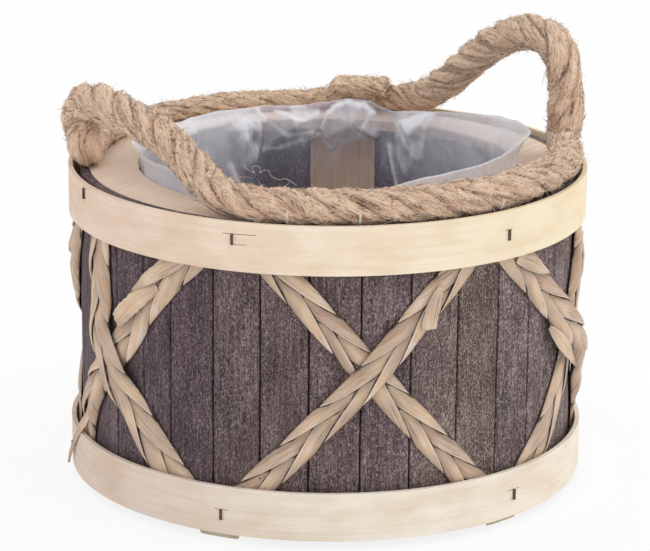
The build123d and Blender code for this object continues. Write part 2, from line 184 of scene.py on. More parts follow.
# Softwood slats, sawn and stained: dark grey brown, furred with pale broken fibres that show as a
# dense speckle, with rows of open dark pores and a purplish cast. Grain runs up the slat.
def stainedSlat(name, colours, slatTone):
    material, shader, add = newMaterial(name, Roughness=0.85)
    apart = add("ObjectInfo").outputs["Random"]
    # waves per mm round, up and through the wall; the fibres are drawn as coarse as the render shows
    grain, cloud, fibre, speck, pores = (
        add("TexNoise", {
            "Vector": add("VectorMath", {0: unrolledWall(add, waves), 1: apart}, operation="ADD"),
            "Scale": 1.0, "Detail": detail, "Roughness": rough})
        for waves, detail, rough in (
            ((1 / 1.1, 1 / 22.0, 1 / 6), 6.0, 0.7), ((1 / 13.0, 1 / 38.0, 1 / 9), 3.0, 0.6),
            ((1 / 0.7, 1 / 2.4, 1 / 3), 3.0, 0.75), ((1 / 0.85, 1 / 1.25, 1 / 2), 2.0, 0.8),
            ((1 / 17.0, 1 / 30.0, 1 / 9), 2.0, 0.6)))
    tone = add("ValToRGB", {0: grain}, stops=zip((0.28, 0.46, 0.60, 0.76), colours[:4]))
    slat = add("ValToRGB", {0: apart}, stops=slatTone)
    swing = sideSwing(add)
    swung = add("MapRange", {0: swing, 1: -1.0, 2: 1.0})
    side = add("ValToRGB", {0: swung}, stops=zip((0.05, 0.45, 0.72, 0.95), colours[6:]))
    furShare = add("MapRange", {0: swing, 1: -0.7, 2: 0.6, 3: 0.50, 4: 0.86})
    cloudTone = add("ValToRGB", {0: cloud}, stops=[(0.32, 0.66), (0.66, 1.0)])
    for share, shade in ((1.0, slat), (0.6, cloudTone)):
        tone = add("Mix", {0: share, 6: tone, 7: shade}, data_type="RGBA", blend_type="MULTIPLY")
    furred = add("Math", {0: fibre, 1: speck}, operation="ADD")
    spread = add("Math", {0: cloud, 1: 0.30, 2: -0.15}, operation="MULTIPLY_ADD")
    shared = add("Math", {0: furred, 1: spread}, operation="ADD")
    pale = add("MapRange", {0: shared, 1: 1.02, 2: 1.34, 3: 0.0, 4: furShare})
    shadowed = add("MapRange", {0: shared, 1: 0.97, 2: 0.74, 3: 0.0, 4: 0.85})
    pits = add("TexVoronoi", {"Vector": unrolledWall(add, (1 / 1.6, 1 / 2.1, 1 / 4)), "Scale": 1.0})
    pitSize = add("MapRange", {0: pores, 1: 0.44, 2: 0.60, 3: 0.0, 4: 0.27})
    isPit = add("Math", {0: pits.outputs["Distance"], 1: pitSize}, operation="LESS_THAN")
    for share, colour in ((pale, colours[5]), (shadowed, colours[4]), (isPit, colours[4])):
        tone = add("Mix", {0: share, 6: tone, 7: toLinear(colour)}, data_type="RGBA")
    sided = add("Mix", {0: 1.0, 6: tone, 7: side}, data_type="RGBA", blend_type="MULTIPLY")
    hole = add("Math", {0: 1.0, 1: isPit}, operation="SUBTRACT")
    lift = noBump
    for height, deep in ((grain, 0.5), (shared, 0.4), (hole, 0.3)):
        lift = add("Bump", {"Height": height, "Strength": 0.5, "Distance": deep * mm, "Normal": lift})
    feedNode(shader, {"Base Color": sided, "Normal": lift})
    return material


# Plain sawn board: straight grain along one way, matt
def sawnBoard(name, colours, grainWay, grainWidth=2.4, grainLength=70.0, upright=False):
    material, shader, add = newMaterial(name, Roughness=0.72)
    place = add("TexCoord").outputs["Object"]
    turned = add("VectorRotate", {"Vector": place, "Angle": -math.radians(grainWay)}, rotation_type="Z_AXIS")
    size = (1 / (grainWidth if upright else grainLength) / mm, 1 / grainWidth / mm,
            1 / (grainLength if upright else grainWidth) / mm)
    sized = add("VectorMath", {0: turned, 1: size}, operation="MULTIPLY")
    grain = add("TexNoise", {"Vector": sized, "Scale": 1.0, "Detail": 6.0, "Roughness": 0.6})
    tone = add("ValToRGB", {0: grain}, stops=zip((0.3, 0.52, 0.75), colours))
    lift = add("Bump", {"Height": grain, "Strength": 0.4, "Distance": 0.3 * mm})
    feedNode(shader, {"Base Color": tone, "Normal": lift})
    return material


# Dried flat leaf, folded and plaited: satin, finely streaked along the blade, pinkish tan, each
# facet in its own shade, with painted shade in its pleats, a painted shadow under the edge that
# covers it and a painted highlight along its own crisp edge. The mark holds mm along, mm in from
# the facet's crisp edge, and mm to the edge that covers it.
def driedLeaf(name, colours):
    material, shader, add = newMaterial(name, Roughness=0.6)
    mark = add("Attribute", attribute_name="leafPlace").outputs["Vector"]
    parts = add("SeparateXYZ", {0: mark}).outputs
    streak, patch, pleat, shadowWidthNoise = (
        add("TexNoise", {
            "Vector": add("VectorMath", {0: mark, 1: waves}, operation="MULTIPLY"),
            "Scale": 1.0, "Detail": detail, "Roughness": rough})
        for waves, detail, rough in (((0.045, 2.1, 0.0), 5.0, 0.65), ((0.031, 0.05, 0.0), 2.0, 0.6),
                                     ((0.012, 0.75, 0.0), 1.0, 0.6), ((0.09, 0.0, 0.0), 1.0, 0.6)))
    tone = add("ValToRGB", {0: streak}, stops=zip((0.26, 0.45, 0.60, 0.78), colours[:4]))
    warm = add("ValToRGB", {0: patch}, stops=zip((0.30, 0.46, 0.56, 0.72), colours[4:8]))
    mixed = add("Mix", {0: 0.58, 6: tone, 7: warm}, data_type="RGBA")
    # painted shade: thin dark lines along the pleats
    pleatShade = add("ValToRGB", {0: pleat}, stops=[(0.48, 0.0), (0.5, 0.6), (0.52, 0.0)])
    # painted highlight along the facet's own crisp edge
    lit = add("MapRange", {0: parts[1], 1: 0.1, 2: 0.9, 3: 0.4, 4: 0.0})
    # painted shadow under the edge that covers the facet: a dark line of varying width beside it, and a softer
    # shade further out
    shadowWidth = add("MapRange", {0: shadowWidthNoise, 1: 0.40, 2: 0.60, 3: 0.8, 4: 2.2})
    near = add("Math", {0: parts[2], 1: shadowWidth}, operation="DIVIDE")
    under = add("MapRange", {0: near, 1: 0.45, 2: 1.0, 3: 0.95, 4: 0.0}, interpolation_type="SMOOTHSTEP")
    soft = add("MapRange", {0: parts[2], 1: 0.6, 2: 5.0, 3: 0.42, 4: 0.0})
    shade = add("Math", {0: under, 1: soft}, operation="MAXIMUM")
    for share, colour in ((pleatShade, colours[8]), (lit, colours[3]), (shade, colours[8])):
        mixed = add("Mix", {0: share, 6: mixed, 7: toLinear(colour)}, data_type="RGBA")
    lift = noBump
    for height, strength, deep in ((streak, 0.45, 0.35), (pleat, 0.35, 1.2)):
        lift = add("Bump", {"Height": height, "Strength": strength, "Distance": deep * mm, "Normal": lift})
    feedNode(shader, {"Base Color": mixed, "Normal": lift})
    return material


# Jute, spun and laid: matt and hairy, tan with pale fibre tips, with painted shade in dark
# streaks between the fibres and in the splits, hollows and seams between the yarns and strands
def laidJute(name, colours):
    material, shader, add = newMaterial(name, Roughness=0.9, Sheen_Weight=0.2, Sheen_Roughness=0.5)
    mark = add("Attribute", attribute_name="ropePlace").outputs["Vector"]
    shade = add("Attribute", attribute_name="ropeShade").outputs["Vector"]
    parts = add("SeparateXYZ", {0: shade}).outputs
    fibre, patch = (
        add("TexNoise", {
            "Vector": add("VectorMath", {0: mark, 1: waves}, operation="MULTIPLY"),
            "Scale": 1.0, "Detail": detail, "Roughness": rough})
        for waves, detail, rough in (((0.15, 1.0, 1.0), 5.0, 0.85), ((0.045, 0.22, 0.22), 3.0, 0.6)))
    tone = add("ValToRGB", {0: fibre}, stops=zip((0.35, 0.45, 0.53, 0.66), colours[:4]))
    warm = add("ValToRGB", {0: patch}, stops=zip((0.36, 0.64), colours[4:6]))
    mixed = add("Mix", {0: 0.4, 6: tone, 7: warm}, data_type="RGBA")
    # painted shade: dark streaks between the fibres, and the shade each strand carries in its splits, hollows and
    # seam
    gap = add("MapRange", {0: fibre, 1: 0.44, 2: 0.37, 3: 0.0, 4: 0.74})
    both = add("Math", {0: gap, 1: parts[0]}, operation="MAXIMUM")
    # the third share is painted light, drawing some pieces paler
    for share, colour in ((both, colours[6]), (parts[2], colours[8]), (parts[1], colours[7])):
        mixed = add("Mix", {0: share, 6: mixed, 7: toLinear(colour)}, data_type="RGBA")
    lift = add("Bump", {"Height": fibre, "Strength": 0.9, "Distance": 1.1 * mm})
    feedNode(shader, {"Base Color": mixed, "Normal": lift})
    return material


# Polythene film, blown thin and milky: glossy, nearly clear where it is pulled flat, and whiter
# where it is doubled; the whiteness on its creases, crumple ridges, fan flats and loose edge is
# painted highlight. The mark holds how much it hides, and how creased it is.
def milkyFilm(name, values):
    material, shader, add = newMaterial(name, Roughness=values["roughness"], IOR=1.5)
    place = add("TexCoord").outputs["Object"]
    crease = add("TexNoise", {"Vector": place, "Scale": 1 / (values["creaseSize"] * mm), "Detail": 4.0,
                              "Roughness": 0.6, "Distortion": 1.1})
    mark = add("Attribute", attribute_name="foldPlace").outputs["Vector"]
    parts = add("SeparateXYZ", {0: mark}).outputs
    facing = add("LayerWeight", {"Blend": 0.3}).outputs["Facing"]
    steep = add("MapRange", {0: facing, 1: 0.45, 2: 1.0, 3: 0.0, 4: values["steepCover"]})
    cloudy = add("MapRange", {0: crease, 1: 0.38, 2: 0.66, 3: 0.84, 4: 1.16})
    thick = add("Math", {0: parts[0], 1: cloudy}, operation="MULTIPLY")
    alpha = add("Math", {0: thick, 1: steep}, operation="ADD", use_clamp=True)
    # whiter where it hides more: doubled film, and the painted highlights that the mark carries
    tone = add("ValToRGB", {0: parts[0]}, stops=zip((0.05, 0.5), values["colours"]))
    lift = add("Bump", {"Height": crease, "Strength": 0.5, "Distance": 2.2 * mm})
    feedNode(shader, {"Base Color": tone, "Alpha": alpha, "Normal": lift})
    return material


# Drawn steel wire, flattened by the stapler: dull where it has rusted, bright where it is new
def stapleWire(name, colour, rust, metallic, roughness):
    material, shader, add = newMaterial(name, Roughness=roughness, Metallic=metallic)
    place = add("TexCoord").outputs["Object"]
    spots = add("TexNoise", {"Vector": place, "Scale": 1 / (0.9 * mm), "Detail": 4.0})
    tone = add("ValToRGB", {0: spots}, stops=[(0.4, colour), (0.62, rust)])
    feedNode(shader, {"Base Color": tone})
    return material


finishes = {
    # the first three colours of each band are its tint round the drum, with painted shade on the left
    "band": peeledVeneer(
        "PeeledPoplarVeneer", ["#EFD9C9", "#FFF0DB", "#F9EACB", "#CDB08C", "#6E4F38"], bandUnder, bandTop,
        [(-65.3, 0.80, 4), (-18.4, 0.65, 9.5), (41.4, 0.50, 2.5), (99, 0.42, 6), (155, 0.70, 1.5),
         (-157, 0.55, 7), (-126, 0.72, 4)]),
    "lowBand": peeledVeneer(
        "PeeledPoplarVeneerPale", ["#E4D2C6", "#FBF3E8", "#FAF1E3", "#D0B798", "#76573F"],
        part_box("bottom_band")[0][2], lowBandTop,
        [(-80, 0.42, 3), (-22.4, 0.41, 4), (44.9, 0.46, 5), (96.5, 0.50, 6), (164, 0.40, 3),
         (-146, 0.47, 5), (-108, 0.44, 4)]),
    "runner": sawnBoard("SawnPoplarBatten", ["#DCC8AA", "#EEE0C8", "#F6EBD8"], frontFromX + 10),
    "ledge": sawnBoard("SawnPoplarRing", ["#DAC2AC", "#E9D3BF", "#F1E0CF"], 20, 2.0, 40.0),
    # the strut's colours are paler than the board's own brown: painted light, for the light that the milky film
    # lets through onto it
    "strut": sawnBoard("SawnBrownBoard", ["#EFBE92", "#FFD8B0", "#FFEBCE"], 0, 2.2, 60.0, True),
    "base": sawnBoard("SawnBaseBoard", ["#6E5A49", "#8B7561", "#A08A75"], 35, 3.0, 80.0),
    "stave": stainedSlat(
        "StainedSpruceSlat", ["#4E4143", "#716366", "#968789", "#BBADAE", "#251E20", "#DCD3D0",
                              "#DCD4DE", "#E9E1E6", "#F4EEEA", "#FFFBF2"],
        [(0.0, "#CBBCC3"), (0.22, "#EADFE3"), (0.45, "#D8CDBC"), (0.62, "#FBF4F0"), (0.8, "#D6CACE"),
         (1.0, "#E4DACD")]),
    # the last leaf colour is that of the painted shade and shadow, and the fourth also gives the painted
    # highlight
    "leaf": driedLeaf("PlaitedDriedLeaf", ["#9C7E68", "#C9AD95", "#E6CEB8", "#FBEEDF", "#BE8A62",
                                           "#C2AC9B", "#E4C09A", "#F1E8E1", "#37261B"]),
    # the seventh jute colour is that of the painted shade, the ninth that of the painted light
    "jute": laidJute("LaidJuteRope", ["#946848", "#E2BA9C", "#FADCC0", "#FFF8E6", "#EAB696", "#FCDEC0",
                                      "#6E4430", "#FFF5E2", "#FFE0BE"]),
    "film": milkyFilm("MilkyPolytheneFilm", {"roughness": 0.22, "colours": ["#CBCBE2", "#F0F0F6"],
                                             "creaseSize": 30.0, "steepCover": 0.25}),
    "rusty": stapleWire("RustedStapleWire", "#4A3A2C", "#7A5A3E", 0.5, 0.55),
    "bright": stapleWire("BrightStapleWire", "#F4F2EE", "#D8D3CB", 0.25, 0.35),
}
nodeFinish = {"top_band": "band", "bottom_band": "lowBand", "base_runners": "runner", "top_ring": "ledge",
              "inner_struts": "strut", "base_disc": "base", "band_staples": "rusty", "rope_staples": "bright"}
for nodeName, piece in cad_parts.items():
    wanted = "stave" if nodeName.startswith("stave_") else nodeFinish.get(nodeName)
    if wanted:
        piece.data.materials.clear()
        piece.data.materials.append(finishes[wanted])
print("materials made")


def unit(rows):
    return rows / np.linalg.norm(rows, axis=-1, keepdims=True)


# Distance along a line, at each of its points
def runOf(line):
    return np.concatenate([[0], np.cumsum(np.linalg.norm(np.diff(line, axis=0), axis=1))])


def makeMesh(name, verts, faces, material, marks=None, smooth=True):
    mesh = bpy.data.meshes.new(name)
    mesh.from_pydata(np.asarray(verts).tolist(), [], faces)
    shape = bmesh.new()
    shape.from_mesh(mesh)
    bmesh.ops.recalc_face_normals(shape, faces=shape.faces)
    shape.to_mesh(mesh)
    shape.free()
    mesh.materials.append(material)
    mesh.polygons.foreach_set("use_smooth", [smooth] * len(mesh.polygons))
    for label, values in (marks or {}).items():
        layer = mesh.attributes.new(label, "FLOAT_VECTOR", "POINT")
        layer.data.foreach_set("vector", np.asarray(values, np.float32).ravel())
    mesh.update()
    piece = bpy.data.objects.new(name, mesh)
    bpy.context.scene.collection.objects.link(piece)
    return piece


# A smooth line through points, sampled about every step; also says which sample each point is
def smoothLine(points, step):
    points = [np.array(p, float) for p in points]
    padded = [2 * points[0] - points[1]] + points + [2 * points[-1] - points[-2]]
    line, stops = [], []
    for i in range(1, len(padded) - 2):
        a, b, c, d = padded[i - 1:i + 3]
        count = max(2, round(np.linalg.norm(c - b) / step))
        stops.append(len(line))
        for j in range(count):
            t = j / count
            line.append(0.5 * (2 * b + (c - a) * t + (2 * a - 5 * b + 4 * c - d) * t ** 2
                               + (3 * b - a - 3 * c + d) * t ** 3))
    stops.append(len(line))
    line.append(points[-1])
    return np.array(line), stops


# Side directions carried along a line without twist, and the distance along it
def carriedSides(line, firstSide):
    ways = unit(np.gradient(line, axis=0))
    sides = []
    side = np.array(firstSide, float)
    for way in ways:
        side = unit(side - way * side.dot(way))
        sides.append(side)
    return ways, np.array(sides), np.cross(ways, sides), runOf(line)


# Faces of a tube of rings, closed at both ends
def tubeFaces(rings, around, first=0):
    faces = []
    for i in range(rings - 1):
        for j in range(around):
            k = (j + 1) % around
            a = first + i * around
            faces.append((a + j, a + k, a + around + k, a + around + j))
    faces.append(tuple(first + j for j in reversed(range(around))))
    faces.append(tuple(first + (rings - 1) * around + j for j in range(around)))
    return faces


# The rope
rope = {
    "strandOut": 0.44, "strandDeep": 0.57, "strandWide": 0.71,  # of the rope's radius
    # slow random changes along the rope, each with its waves per metre: the strands' turn in radians,
    # their size as a share, and the yarns' turn in radians
    "twistDrift": (0.16, 45), "swell": (0.09, 60), "fineSwell": (0.05, 160), "yarnDrift": (3.5, 38),
    "yarnTurn": 80.0,  # mm for one turn of the yarns within a strand, against the strands' own turn
    "yarnWaves": ((3, 0.20), (5, 0.24), (8, 0.22), (13, 0.15)),  # how many round a strand, mm deep
    # deep splits between the yarns: how many round a strand, how they drift, where they come and go
    "cracks": 4, "crackDrift": (2.6, 26), "crackGate": (-0.15, 0.30, 95), "crackFrom": 0.84,
    "crackDepth": 1.25, "roughness": 0.18,  # mm
    "crackShade": 0.95, "gapShade": 0.55,  # how dark a split is, and the hollow between two yarns
    # where a hollow starts and is full, in mm of relief; the same for a seam, as cosine round a strand
    "hollow": (-0.10, -0.55), "seam": (0.25, -0.35),
    "seamShade": (0.85, 0.5, 210),  # painted shade in the seam between strands, how dark: middle, spread, waves per metre
    "markStep": 400, "markRadius": 5.5,  # mm of pattern between two strands, and round one
    "ringStep": 1.2, "ringSides": 30,
    "hairsPerMm": 26.0, "hairLength": (1.6, 6.5), "strayLength": (8.0, 14.0), "strayShare": 0.006,  # mm
    "hairThick": 0.20, "endHairs": 130, "endShare": 0.55,  # mm; hairs at each cut end, and how long they are
    "hairShort": 2.4, "hairTaper": 0.7,  # the power that makes most hairs short; what one loses to its tip
    "hairSizes": (0.7, 1.35), "hairRings": 4,  # shares of hairThick
    # how far a hair leaves the strand's way, as shares of it: the middle and spread of its lift and lean
    "hairLift": (0.08, 0.17), "strayLift": 0.35, "hairLean": (0.34, 0.48), "hairStray": 0.16, "hairCurl": 0.42,
    "hairLie": 0.22, "hairRoot": (0.04, 0.05),  # curl back to the strand; share sunk in it, mm off it
    "darkHairs": (0.64, 0.24), "paleHairs": (0.50, 0.36),  # where the shade starts, and how soon it is full
    "wobble": 0.9, "pointEvery": 8.0, "thickens": (236, 262),  # mm; degrees
    "bendFrom": 10.5, "bendTo": 34.0,  # mm above the rope's level, from and to, for a loop's hinge
    "paintedLight": (0.95, 0.75, 0.16, 0.07, 0.06, 0.24, 0.95),  # painted light: how much paler each piece is drawn, at each piece's start, and the end
    "seed": 11,
}
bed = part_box("rim_rope_front")[0][2] / mm  # mm; what the rope lies on
full, thin, lowerEnd, upperEnd = 9.6, 6.1, 6.9, 6.2  # mm; the rope's radius, and where it is squeezed
middleLevel = 9.25  # mm above the bed
ropeLevel = (bed + middleLevel) * mm
# Each loop's line: mm along from its upright foot to its sloping foot, mm above the rim rope, radius
loopLines = {
    "left": [(-3, 2.2, 9.9), (-7.6, 11, 10.8), (-8.4, 19.5, 11.4), (-4.6, 27.2, 11.5), (5, 30.6, 11.2),
             (25, 30.4, 10.4), (47, 28.3, 10), (65.6, 25, 9.9), (84, 19.6, 9.9), (98.7, 13.7, 9.8),
             (113.5, 7.2, 9.8), (127, 2.6, 9.7)],
    "right": [(-1, 2.3, 10), (-3.5, 13.3, 10.2), (-3, 26.3, 10.2), (-2, 39.8, 10.2), (2.4, 51.3, 10.6),
              (13, 58.6, 10.6), (32.7, 59.4, 10.2), (50, 53.3, 10), (67, 43.7, 10), (84, 31.5, 10),
              (100, 19.2, 9.9), (116.6, 8.6, 9.7), (130, 2.1, 9.5)],
}
footAngles = {"left": (-81.5, -22.5), "right": (98.5, 157.5)}
footReach = 5.9  # degrees of rim rope that go into a loop's piece, beyond each foot
# mm for one full turn of a strand, at the start of each piece and at the end
lays = [60, 66, 60, 58, 74, 44, 62]


def ropePoint(angle, radius, height, reach=None):
    spot = onRim(rimRadius if reach is None else reach * mm, angle, (bed + height) * mm)
    return (*spot, radius * mm)


def loopPoints(side):
    first, last = (onRim(rimRadius, a, ropeLevel) for a in footAngles[side])
    along = (last - first).normalized()
    return [(*(first + along * s * mm + Vector((0, 0, h * mm))), r * mm) for s, h, r in loopLines[side]]


def rimPoints(start, end):
    count = max(2, round(abs(end - start) / rope["pointEvery"]))
    points = []
    for i in range(count + 1):
        angle = start + (end - start) * i / count
        turned = angle % 360
        radius = full
        if turned > 180:  # thin at the back, and full again where the left loop starts
            radius = thin + (full - thin) * ease(*rope["thickens"], turned)
        wobble = noise.noise(Vector((angle * 0.06, 3.1, 0))) * rope["wobble"]
        points.append(ropePoint(angle, radius, radius + wobble * 0.5 - 0.1, rimRadius / mm + wobble * 0.4))
    return points


leanReach, leanHeight = 127.93, 16.48  # mm from the axis and above the bed: the upper end, leaned on the lower
ropeRuns = {
    "ropeEndUpper": [ropePoint(163.8, upperEnd, leanHeight + 0.7, leanReach - 0.4),
                     ropePoint(167.5, upperEnd, leanHeight + 0.2, leanReach),
                     ropePoint(172.5, upperEnd + 0.3, leanHeight, leanReach),
                     ropePoint(177.0, upperEnd + 0.4, leanHeight - 0.4, leanReach + 0.2),
                     ropePoint(178.7, upperEnd - 1.6, leanHeight - 5.6, leanReach + 2.6),
                     ropePoint(181.6, thin, 7.4, rimRadius / mm - 1.2)],
    "rimRopeBack": rimPoints(186.0, 278.5 - footReach),
    "handleLeft": loopPoints("left"),
    "rimRopeFront": rimPoints(footAngles["left"][1] + footReach, footAngles["right"][0] - footReach),
    "handleRight": loopPoints("right"),
    "ropeEndLower": [ropePoint(157.5 + footReach, 7.8, 9.0), ropePoint(167, 7.2, 7.8),
                     ropePoint(171, lowerEnd, 7.3), ropePoint(175.6, 6.3, 6.6), ropePoint(178.3, 4.4, 4.9)],
}
ropePieces = {  # the CAD nodes each piece stands for, and the loop it belongs to
    "ropeEndUpper": ("rope_end_upper", None), "rimRopeBack": ("rim_rope_back", None),
    "handleLeft": ("handle_left", "left_loop"), "rimRopeFront": ("rim_rope_front", None),
    "handleRight": ("handle_right", "right_loop"), "ropeEndLower": ("rope_end_lower", None),
}


def drift(run, waves, seed):  # slow random change along a line
    return np.array([noise.noise(Vector((s * waves, seed * 7.3, seed * 3.1))) for s in run])


def driftOf(name, run, seed):
    size, waves = rope[name]
    return size * drift(run, waves, seed)


def layRope():
    points, starts = [], []
    for run in ropeRuns.values():
        starts.append(len(points))
        points += run
    # Where a loop meets the rim, the rim's own end point belongs to the loop
    starts[2] -= 1
    starts[4] -= 1
    starts[3] += 1
    starts[5] += 1
    sampled, stops = smoothLine(points, rope["ringStep"] * mm)
    line, size = sampled[:, :3], sampled[:, 3]
    ways, sides, ups, run = carriedSides(line, (0, 0, 1))
    cuts = [stops[i] for i in starts] + [len(line) - 1]
    lay = np.interp(run, run[cuts], lays) * mm
    turned = np.concatenate([[0], np.cumsum(np.diff(run) / lay[1:])]) * 2 * math.pi
    rng = np.random.default_rng(rope["seed"])
    around = np.linspace(0, 2 * math.pi, rope["ringSides"], endpoint=False)
    strands = []
    for k in range(3):
        turn = turned + 2 * math.pi * k / 3 + driftOf("twistDrift", run, k + 1)
        outWay = np.cos(turn)[:, None] * sides + np.sin(turn)[:, None] * ups
        sideWay = -np.sin(turn)[:, None] * sides + np.cos(turn)[:, None] * ups
        bulge = 1 + driftOf("swell", run, k + 4) + driftOf("fineSwell", run, k + 8)
        deep = rope["strandDeep"] * size * bulge
        wide = rope["strandWide"] * size * bulge
        middle = line + outWay * (rope["strandOut"] * size)[:, None]
        yarn = around[None, :] + 2 * math.pi * run[:, None] / (rope["yarnTurn"] * mm)
        relief = np.zeros(yarn.shape)
        for waves, depth in rope["yarnWaves"]:
            shift = driftOf("yarnDrift", run, k * 5 + waves)[:, None]
            relief += depth * np.cos(waves * yarn + shift)
        split = np.cos(rope["cracks"] * yarn + driftOf("crackDrift", run, k + 30)[:, None])
        shut, opened, waves = rope["crackGate"]
        crack = smoothStep(rope["crackFrom"], 1.0, split)
        crack = crack * smoothStep(shut, opened, drift(run, waves, k + 50))[:, None]
        rough = rng.normal(0, rope["roughness"], yarn.shape)
        grow = 1 + (relief - rope["crackDepth"] * crack + rough) * mm / deep[:, None]
        c, s = np.cos(around)[None, :] * grow, np.sin(around)[None, :] * grow
        ring = (middle[:, None, :] + outWay[:, None, :] * (deep[:, None] * c)[:, :, None]
                + sideWay[:, None, :] * (wide[:, None] * s)[:, :, None])
        # painted shade on each strand's inner side, in its splits and in the hollows between its yarns
        inner = smoothStep(*rope["seam"], np.cos(around))[None, :]
        seam, spread, waves = rope["seamShade"]
        ragged = seam + spread * drift(run, waves, k + 70)[:, None]
        hollow = rope["gapShade"] * smoothStep(*rope["hollow"], relief)
        shade = np.clip(rope["crackShade"] * crack + inner * ragged + hollow, 0, 1)
        place = np.stack([np.broadcast_to(run[:, None] / mm + k * rope["markStep"], yarn.shape),
                          np.cos(yarn) * rope["markRadius"], np.sin(yarn) * rope["markRadius"]], axis=2)
        # painted light: some pieces are drawn paler
        paintedLight = np.broadcast_to(np.interp(run, run[cuts], rope["paintedLight"])[:, None], shade.shape)
        mark = np.stack([shade, np.zeros(shade.shape), paintedLight], axis=2)
        strands.append((ring, place, mark, outWay, sideWay))
    return line, ways, run, cuts, strands, rng


# Loose fibres on a stretch of the strands, as thin three-sided spikes. Most lie along the yarns;
# a few stand off, and the cut ends are frayed.
def ropeHairs(first, last, ways, run, strands, rng, cutEnds):
    count = int((run[last] - run[first]) / mm * rope["hairsPerMm"])
    spot = rng.integers(first, last + 1, count)
    sign = rng.choice((-1.0, 1.0), count)
    for end, outward in cutEnds:
        spot = np.concatenate([spot, np.clip(end + rng.integers(-2, 3, rope["endHairs"]), first, last)])
        sign = np.concatenate([sign, np.full(rope["endHairs"], outward)])
    count = len(spot)
    which = rng.integers(0, 3, count)
    side = rng.integers(-9, 10, count) % rope["ringSides"]
    root = np.stack([s[0] for s in strands])[which, spot, side]
    outWay = np.stack([s[3] for s in strands])[which, spot]
    sideWay = np.stack([s[4] for s in strands])[which, spot]
    angle = 2 * math.pi * side / rope["ringSides"]
    normal = outWay * np.cos(angle)[:, None] + sideWay * np.sin(angle)[:, None]
    shortest, longest = rope["hairLength"]
    length = shortest + (longest - shortest) * rng.random(count) ** rope["hairShort"]
    stray = rng.random(count) < rope["strayShare"]
    length = np.where(stray, rng.uniform(*rope["strayLength"], count), length) * mm
    length[count - rope["endHairs"] * len(cutEnds):] *= rope["endShare"]
    lift = np.abs(rng.normal(*rope["hairLift"], count)) + rope["strayLift"] * stray
    lean = sign * (rope["hairLean"][0] + rng.normal(0, rope["hairLean"][1], count))
    way = ways[spot] * sign[:, None] + sideWay * lean[:, None] + normal * lift[:, None]
    way = unit(way + rng.normal(0, rope["hairStray"], (count, 3)))
    curl = rng.normal(0, rope["hairCurl"], (count, 3)) - normal * rope["hairLie"]
    cross = np.cross(way, normal)
    cross /= np.linalg.norm(cross, axis=1)[:, None] + 1e-9
    other = np.cross(way, cross)
    thick = rope["hairThick"] * mm * rng.uniform(*rope["hairSizes"], count)
    tone = rng.random(count)
    (darkFrom, darkRun), (paleFrom, paleRun) = rope["darkHairs"], rope["paleHairs"]
    dark, pale = np.clip((tone - darkFrom) / darkRun, 0, 1), np.clip((paleFrom - tone) / paleRun, 0, 1)
    rings, (sunk, off) = rope["hairRings"], rope["hairRoot"]
    verts = np.zeros((count, rings * 3 + 1, 3))
    for r in range(rings + 1):
        t = r / rings
        middle = root + (way * (t - sunk) + curl * (t * t * 0.6)) * length[:, None] + normal * (off * mm)
        if r == rings:
            verts[:, rings * 3] = middle
            break
        for q in range(3):
            a = 2 * math.pi * q / 3
            reach = (thick * (1 - rope["hairTaper"] * t))[:, None]
            verts[:, r * 3 + q] = middle + (cross * math.cos(a) + other * math.sin(a)) * reach
    place = np.zeros(verts.shape)
    place[:, :, 0] = (run[spot] / mm)[:, None]
    place[:, :, 1] = 60 + 90 * tone[:, None]
    mark = np.zeros(verts.shape)
    mark[:, :, 0], mark[:, :, 1] = dark[:, None], pale[:, None]
    one = [(2, 1, 0)]
    for r in range(rings - 1):
        one += [(r * 3 + q, r * 3 + (q + 1) % 3, r * 3 + 3 + (q + 1) % 3, r * 3 + 3 + q) for q in range(3)]
    tip = rings * 3
    one += [(tip - 3, tip - 2, tip), (tip - 2, tip - 1, tip), (tip - 1, tip - 3, tip)]
    stride = tip + 1
    faces = [tuple(h * stride + v for v in face) for h in range(count) for face in one]
    return verts.reshape(-1, 3), place.reshape(-1, 3), mark.reshape(-1, 3), faces


# A loose pale thread that stands off the front rope: mm from the axis, degrees from the front
looseThread = {"rise": 19.6, "thick": 0.10, "step": 1.0, "sway": 1.6, "swayTurn": 1.9, "points": [
    (131.5, -7.2), (124, -10.4), (117.5, -12.7), (112, -15.8), (108.9, -17.4), (107.4, -20.4), (103.4, -20.6),
    (100.4, -22.4), (103.6, -23.8), (105.6, -22.2), (104.4, -25.6), (101.7, -26.6), (99.6, -30.4), (96.6, -34.1)]}


def threadTube(first):
    spots = []
    for number, (radius, angle) in enumerate(looseThread["points"]):
        sway = looseThread["sway"] * math.sin(number * looseThread["swayTurn"])
        level = ledgeTop / mm + looseThread["rise"] + sway
        spots.append(onRim(radius * mm, angle, level * mm))
    middle, _ = smoothLine(spots, looseThread["step"] * mm)
    ways, sides, ups, run = carriedSides(middle, (0, 0, 1))
    size = looseThread["thick"] * mm
    verts = np.stack([middle + (sides * math.cos(a) + ups * math.sin(a)) * size for a in (0, 2.094, 4.189)],
                     axis=1)
    return verts.reshape(-1, 3), tubeFaces(len(middle), 3, first)


